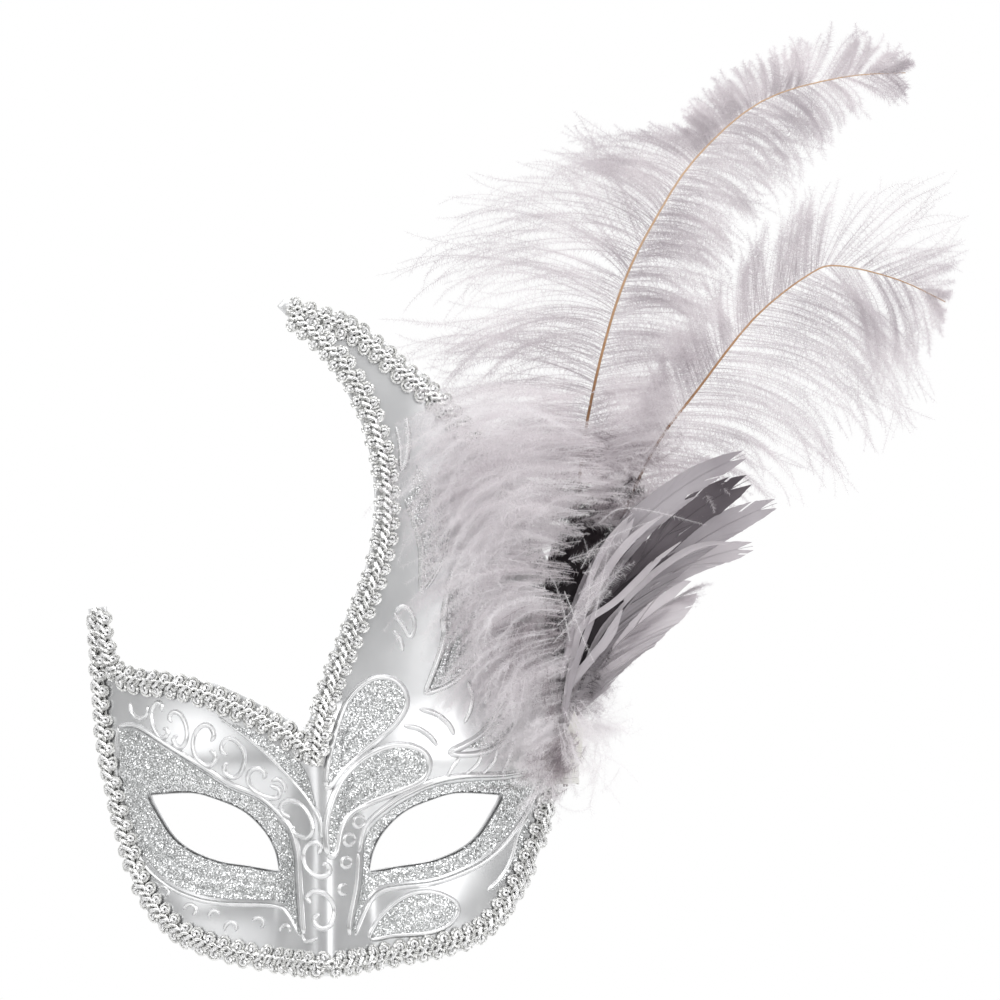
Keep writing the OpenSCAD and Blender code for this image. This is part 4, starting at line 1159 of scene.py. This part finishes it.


# Narrow straps split off the vanes, and wider sheets behind: their line [x, z], half width, depth and
# material.
# Material 4 is painted shadow: near-black sheets in the gaps and the hollow behind and between the blades.
STRAPS = [
    ([[85, 58], [91, 76], [97, 88], [105, 100.4], [113, 109], [122, 115.6]], 1.5, -11.5, 2),
    ([[86, 50], [89.6, 66], [93, 76], [104, 84], [112.7, 92.4], [120, 99.6], [128, 105.8]], 1.3, -12.6, 2),
    ([[85, 56], [89, 74.5], [94.4, 90], [100, 102.6], [106.6, 112], [111, 116]], 1.2, -10.6, 2),
    ([[85.6, 44], [88.2, 54], [93.6, 61], [100, 69], [103.4, 74.4], [107, 82]], 1.6, -12.4, 2),
    # near-black strap on material 4: painted shadow in the gap between the blades
    ([[85.3, 46], [91, 64], [97, 76.4], [107, 87.4], [117, 96.6]], 2.4, -9.8, 4),
    ([[87, 44], [95, 66], [104, 80], [118, 94], [134, 104], [150, 105]], 1.2, -8.4, 2),
    ([[86, 42], [89, 58], [92.4, 68], [96, 78], [99, 86]], 1.1, -13.4, 0),
    # three wide near-black sheets behind the blades: painted shadow
    ([[86, 44], [88, 66], [91, 90], [99, 118]], 6.5, 0.5, 4),
    ([[87, 46], [93, 66], [100, 90], [112, 114]], 5.5, 0.0, 4),
    ([[85, 48], [84, 72], [85, 94], [92, 116]], 5.5, 1.5, 4),
]


def vane(pile, rng, path, half, index, lean=15.0, cup=1.5, count=150, splits=0.05):
    """A firm vane: close barbs joined into two webs along a rachis, with a few splits.
    half holds (place, half width) pairs."""
    k = len(path) - 1
    length = np.linalg.norm(np.diff(path, axis=0), axis=1).sum()
    across = unit(np.cross(np.gradient(path, axis=0), [0.0, 1.0, 0.0]))

    f = np.linspace(0, 1, 8)
    widest = max(w for _, w in half)
    for side in (-1, 1):
        end = np.linspace(0.04, 1.0, count)
        group = np.cumsum(rng.random(count) < splits)
        g = rng.normal(0, 1, (group.max() + 1, 3))[group]
        w = np.interp(end, [a for a, _ in half], [v for _, v in half])
        w = w * (1 + 0.07 * g[:, 0] + 0.012 * rng.normal(0, 1, count))
        start = np.maximum(0, end - w / np.tan(np.radians(lean)) / length)
        u = start[:, None] + (end - start)[:, None] * f * (1 + 0.02 * g[:, 1:2] * f)
        d = w[:, None] * f**0.9
        at = np.clip(u, 0, 1) * k
        p = pick(at, np.arange(k + 1), path) + pick(at, np.arange(k + 1), across) * (side * d)[..., None]
        ruffle = 0.10 * (np.arange(count) % 2)[:, None] * f
        p[..., 1] += ruffle - cup * (d / widest) ** 2 + 0.35 * g[:, 2:] * f
        i = (np.arange(count - 1)[:, None] * 8 + np.arange(7))[:, :, None] + [0, 1, 9, 8]
        joined_up = (group[1:] == group[:-1])[:, None]
        pile.add(p, [i[joined_up | (np.arange(7) < rng.integers(4, 8, count - 1)[:, None])]], index)


def make_blade(number, spec, mats, rng):
    tip, half, bow, mat, cup = spec
    cad = f"blade_{number}"
    tip = np.array(tip, float)
    across = np.array([tip[1], -tip[0]]) / np.linalg.norm(tip)
    s = np.linspace(0, 1, 60)
    p = s[:, None] * tip + (4 * s * (1 - s) * bow)[:, None] * across + [ROOT[0], STUB_TOP + SWAY_GAP]
    path = np.stack([p[:, 0], blade_y(cad) + 1.5 * np.sin(np.pi * s), p[:, 1]], -1)
    pile = Pile()
    pile.add(*tubes(path[None], (0.6 * (1 - 0.85 * s))[None], 6, (0, 1, 0), caps=True), mat)
    shape = [(0, 0.4), (0.1, 0.3 * half), (0.3, 0.75 * half), (0.6, half), (0.86, 0.85 * half),
             (0.95, 0.6 * half), (1, 0.3 * half)]
    vane(pile, rng, path, shape, mat, 15, cup, 170, 0.05)
    if number == 1:
        for line, w, depth, tint in STRAPS:
            q = at_share(curve(line, 6), 40)
            q = np.stack([q[:, 0], depth + 0.8 * np.sin(np.linspace(0, 9, 40)), q[:, 1]], -1)
            vane(pile, rng, q, [(0, 0.5 * w), (0.3, w), (0.8, w), (1, 0.15 * w)], tint, 12, 0.5, 60, 0.02)
    if number == 6:
        p = barbs(rng, path, 1, 130, (0.12, 0.97), [(0, 13), (0.6, 15), (1, 9)], (34, 16), (6, -4),
                  (0.1, 0.0), 0.12, 7, 12)
        add_fluff(pile, rng, p, 0.1, 1.3, 0.09, 0.5, mat)
    # loose down at the foot of the blade
    for side in (-1, 1):
        p = barbs(rng, path[:18], side, 26, (0.1, 1), [(0, 12), (1, 9)], (40, 40), (60, 60), (0.6, 0.6),
                  0.5, 5, 10)
        add_fluff(pile, rng, p, 0.1, 1.6, 0.09, 0.6, mat)
    ob = pile.make(cad + "_vane", mats, True)
    dress(ob, cad)


def make_blades():
    mats = [
        feather_material("goose_grey", (0.36, 0.33, 0.355), (0.47, 0.44, 0.465), 0.15, 0.2),
        feather_material("goose_dark", (0.085, 0.072, 0.082), (0.17, 0.15, 0.165), 0.1, 0.2),
        feather_material("goose_light", (0.50, 0.465, 0.49), (0.62, 0.585, 0.61), 0.2, 0.2),
        feather_material("goose_soft", (0.55, 0.51, 0.54), (0.68, 0.64, 0.665), 0.3, 0.3),
        # near-black: painted shadow, for the straps and sheets in the hollow among the blades
        feather_material("goose_painted_shadow", (0.012, 0.009, 0.011), (0.04, 0.033, 0.038), 0.0, 0.05),
    ]
    rng = np.random.default_rng(31)
    for i, spec in enumerate(BLADES):
        make_blade(i + 1, spec, mats, rng)


# ---------------------------------------------------------------- what holds the feathers
GLUE_AT, GLUE_R = (82, 28), 5.8
FELT_AT, FELT_R = (78, 32), 8.9


def make_fastenings(horn):
    thread = material("binding_thread", (0.72, 0.71, 0.68), (0.86, 0.85, 0.82), 900, (0.6, 0.8), 0.0,
                      (2500, 0.6, 0.0002))
    lo, hi = box_mm("quill_binding")
    c, half = (lo + hi) / 2, (hi - lo) / 2
    turns = 14
    a = np.linspace(0, turns * FULL, turns * 40)
    z = np.linspace(lo[2] + 0.5, hi[2] - 0.5, len(a)) + 0.15 * np.sin(a * 0.31)
    grow = 1 + 0.03 * np.sin(a * 0.27)
    x, y = c[0] + (half[0] - 0.3) * grow * np.cos(a), c[1] + (half[1] - 0.4) * grow * np.sin(a)
    path = np.stack([x, y, z], 1)
    verts, faces = tubes(path[None], 0.46, 6, (0, 0, 1), caps=True)
    ob = mesh("quill_binding_thread", verts, faces, thread)
    dress(ob, "quill_binding")

    pile = Pile()
    ys = [quill_y("tall_quill"), quill_y("side_quill")]
    ys += [blade_y(f"blade_{i + 1}") for i in range(len(BLADES))]
    lo, hi = box_mm("quill_stubs")
    for i, y in enumerate(ys):
        r = 1.35 if i < 2 else 0.6
        z = np.linspace(lo[2] + 1.8, hi[2], 14)
        s = np.linspace(0, 1, 14)
        x = ROOT[0] + (0 if i < 2 else (i % 2) - 0.5)
        p = np.stack(np.broadcast_arrays(x, y, z), 1)
        radius = r * (1 - 0.5 * (1 - s) ** 4) * (1 + 0.04 * np.sin(s * 21))
        pile.add(*tubes(p[None], radius[None], 10, (0, 1, 0), caps=True))
    ob = pile.make("quill_feet", horn)
    dress(ob, "quill_stubs")

    glue = material("hot_glue", (0.72, 0.68, 0.58), (0.82, 0.79, 0.70), 150, (0.12, 0.2), 0.0,
                    (300, 0.4, 0.0004), Coat_Weight=0.4)
    a = np.linspace(0, FULL, 60, endpoint=False)
    x = GLUE_AT[0] + (GLUE_R + 0.5 * np.sin(3 * a)) * np.cos(a)
    loop = np.stack([x, GLUE_AT[1] + (GLUE_R + 0.4 * np.sin(5 * a)) * np.sin(a)], 1)

    def dome(p):
        r = np.linalg.norm(p - GLUE_AT, axis=1)
        return 0.6 * hump(r, 4.2) - 0.25 + 0.15 * np.sin(p[:, 0] * 1.3) * np.sin(p[:, 1] * 1.1)

    verts, faces, index = patch([loop], 0.9, 0.1, 1.1, 0.5, bump=dome)
    ob = mesh("glue_blob", verts, faces, [glue, glue], True, index)
    dress(ob, "glue_pad")


def inner_sheet(name, loop, cad, mat, thick, step, fuzz):
    """A piece of cloth glued inside the shell."""
    front = -SHELL_T - 0.15
    verts, faces, index = patch([loop], step, front - thick, front)
    verts = verts + np.random.default_rng(5).normal(0, fuzz, verts.shape)
    ob = mesh(name, verts, faces, [mat, mat], True, index)
    dress(ob, cad)


def make_cloth():
    felt = cloth_material("white_felt", (0.70, 0.70, 0.70), (0.82, 0.82, 0.82), 900, (0.8, 0.95), 0.5)
    satin = cloth_material("satin_ribbon", (0.80, 0.79, 0.74), (0.92, 0.91, 0.87), 1600, (0.28, 0.4), 0.3)
    a = np.linspace(0, FULL, 80, endpoint=False)
    x = FELT_AT[0] + (FELT_R + 0.12 * np.sin(9 * a)) * np.cos(a)
    disc = np.stack([x, FELT_AT[1] + FELT_R * np.sin(a)], 1)
    inner_sheet("felt_disc", disc, "felt_patch", felt, 1.0, 0.9, 0.05)
    for cad in ("ribbon_left", "ribbon_right"):
        lo, hi = box_mm(cad)
        x0, x1, z0, z1 = lo[0] + 0.2, hi[0] - 0.2, lo[2] + 0.2, hi[2] - 0.2
        box = [[x0, z0], [x1, z0], [x1, z1], [x0, z1]]
        loop = np.concatenate([np.linspace(box[i], box[(i + 1) % 4], 14, endpoint=False) for i in range(4)])
        inner_sheet(cad + "_satin", loop, cad, satin, 0.45, 1.0, 0.015)
    # the folded end beside the feathers: one strip creased along its length, so two faces show
    lo, hi = box_mm("ribbon_fold")
    y = lo[1]
    v = np.linspace(0, 1, 24)
    foot, top = np.array([84.0, 29.5]), np.array([89.6, 45.0])
    crease_top, crease_foot = np.array([91.2, 41.5]), np.array([86.9, 28.8])
    rows = []
    for t in v:
        a = foot + (top - foot) * t
        b = crease_foot + (crease_top - crease_foot) * t
        c = b + [3.6 - 2.6 * t, -0.8 - 0.4 * t]
        d = c + [1.6 - 0.8 * t, -0.6]
        wave = 0.25 * math.sin(7 * t)
        line = [[a[0], y + 0.9 + wave, a[1]], [(a[0] + b[0]) / 2, y + 0.3 + wave, (a[1] + b[1]) / 2],
                [b[0], y - 0.2, b[1]], [(b[0] + c[0]) / 2, y + 1.6, (b[1] + c[1]) / 2],
                [c[0], y + 3.2 + wave, c[1]], [d[0], y + 4.2, d[1]]]
        rows.append(line)
    strip = np.array(rows)
    m = strip.shape[1]
    back = strip + [0.12, 0.3, 0.0]
    i, j = np.meshgrid(np.arange(len(v) - 1), np.arange(m - 1), indexing="ij")
    q = (i * m + j).reshape(-1)
    quads = np.stack([q, q + 1, q + m + 1, q + m], 1)
    n = len(v) * m
    edge = np.concatenate([np.arange(m), np.arange(1, len(v)) * m + m - 1,
                           np.arange(m - 2, -1, -1) + (len(v) - 1) * m,
                           np.arange(len(v) - 2, 0, -1) * m])
    nxt = np.roll(edge, -1)
    rim = np.stack([edge, edge + n, nxt + n, nxt], 1)
    ob = mesh("ribbon_fold_satin", np.concatenate([strip.reshape(-1, 3), back.reshape(-1, 3)]),
              [quads, quads[:, ::-1] + n, rim], satin, False)
    dress(ob, "ribbon_fold")


# ---------------------------------------------------------------- stage, light and camera
VIEW_X, VIEW_Z, VIEW_W = 0.063, 0.1206, 0.36  # what the picture frames, in metres
LENS, SENSOR = 250, 36
FLOOR_R, FLOOR_Z = 2.4, -0.26


def make_stage():
    me = bpy.data.meshes.new("floor")
    n = 64
    turn = [FULL * i / n for i in range(n)]
    ring = [(FLOOR_R * math.cos(a), FLOOR_R * math.sin(a), FLOOR_Z) for a in turn]
    me.from_pydata(ring, [], [list(range(n))])
    me.materials.append(material("pale_floor", (0.86, 0.86, 0.86), (0.90, 0.90, 0.90), 8, (0.8, 0.9)))
    in_scene("floor", me)

    world = bpy.data.worlds.new("studio")
    bpy.context.scene.world = world
    world.use_nodes = True
    nt = world.node_tree
    back = nt.nodes["Background"]
    coord = node(nt, "ShaderNodeTexCoord")
    xyz = node(nt, "ShaderNodeSeparateXYZ")
    link(nt, coord.outputs["Generated"], xyz.inputs["Vector"])
    up = node(nt, "ShaderNodeMapRange", **{"From Min": -1.0, "From Max": 1.0})
    link(nt, xyz.outputs["Z"], up.inputs["Value"])
    rear = node(nt, "ShaderNodeMapRange", **{"From Min": -0.1, "From Max": 0.7})
    link(nt, xyz.outputs["Y"], rear.inputs["Value"])
    both = node(nt, "ShaderNodeMix", data_type="RGBA")
    link(nt, rear.outputs["Result"], both.inputs["Factor"])
    sky = [(0.0, 0.25), (0.40, 0.12), (0.52, 0.24), (0.85, 0.85), (1.0, 1.0)]
    ramp(nt, up.outputs["Result"], sky, both.inputs[6])
    both.inputs[7].default_value = (1, 1, 1, 1)
    link(nt, both.outputs[2], back.inputs["Color"])
    back.inputs["Strength"].default_value = 1.0
    white = node(nt, "ShaderNodeBackground", Color=(1, 1, 1, 1), Strength=1.0)
    path = node(nt, "ShaderNodeLightPath")
    mix = node(nt, "ShaderNodeMixShader")
    link(nt, path.outputs["Is Camera Ray"], mix.inputs["Fac"])
    link(nt, back.outputs["Background"], mix.inputs[1])
    link(nt, white.outputs["Background"], mix.inputs[2])
    link(nt, mix.outputs["Shader"], nt.nodes["World Output"].inputs["Surface"])

    def soft(name, azimuth, elevation, distance, size, power):
        light = bpy.data.lights.new(name, "AREA")
        light.shape, light.size, light.size_y, light.energy = "RECTANGLE", size[0], size[1], power
        ob = in_scene(name, light)
        a, e = math.radians(azimuth), math.radians(elevation)
        d = Vector((math.sin(a) * math.cos(e), -math.cos(a) * math.cos(e), math.sin(e)))
        ob.location = Vector((0.05, 0, 0.1)) + d * distance
        ob.rotation_mode = "QUATERNION"
        ob.rotation_quaternion = d.to_track_quat("Z", "Y")
        ob.visible_camera = False

    soft("key", 36, 20, 1.3, (0.6, 1.2), 5.0)
    soft("fill", -50, 24, 1.4, (0.6, 1.2), 3.2)
    soft("top", 0, 72, 1.3, (1.2, 0.7), 3.4)
    soft("rim", 170, 25, 1.5, (1.1, 1.1), 4.5)


def make_camera():
    cam = bpy.data.cameras.new("camera")
    cam.lens, cam.sensor_width = LENS, SENSOR
    ob = in_scene("camera", cam)
    distance = VIEW_W / 2 / (SENSOR / 2 / LENS)
    ob.location = (VIEW_X, -distance, VIEW_Z)
    ob.rotation_euler = (math.pi / 2, 0, 0)
    cam.clip_end = 50
    bpy.context.scene.camera = ob
    bpy.context.scene.view_settings.view_transform = "Standard"


make_camera()
make_stage()
make_shell()
make_piping(piping_material())
make_all_glitter()
make_braids()
horn_mat = quill_material()
make_plumes(horn_mat)
make_down()
make_blades()
make_fastenings(horn_mat)
make_cloth()
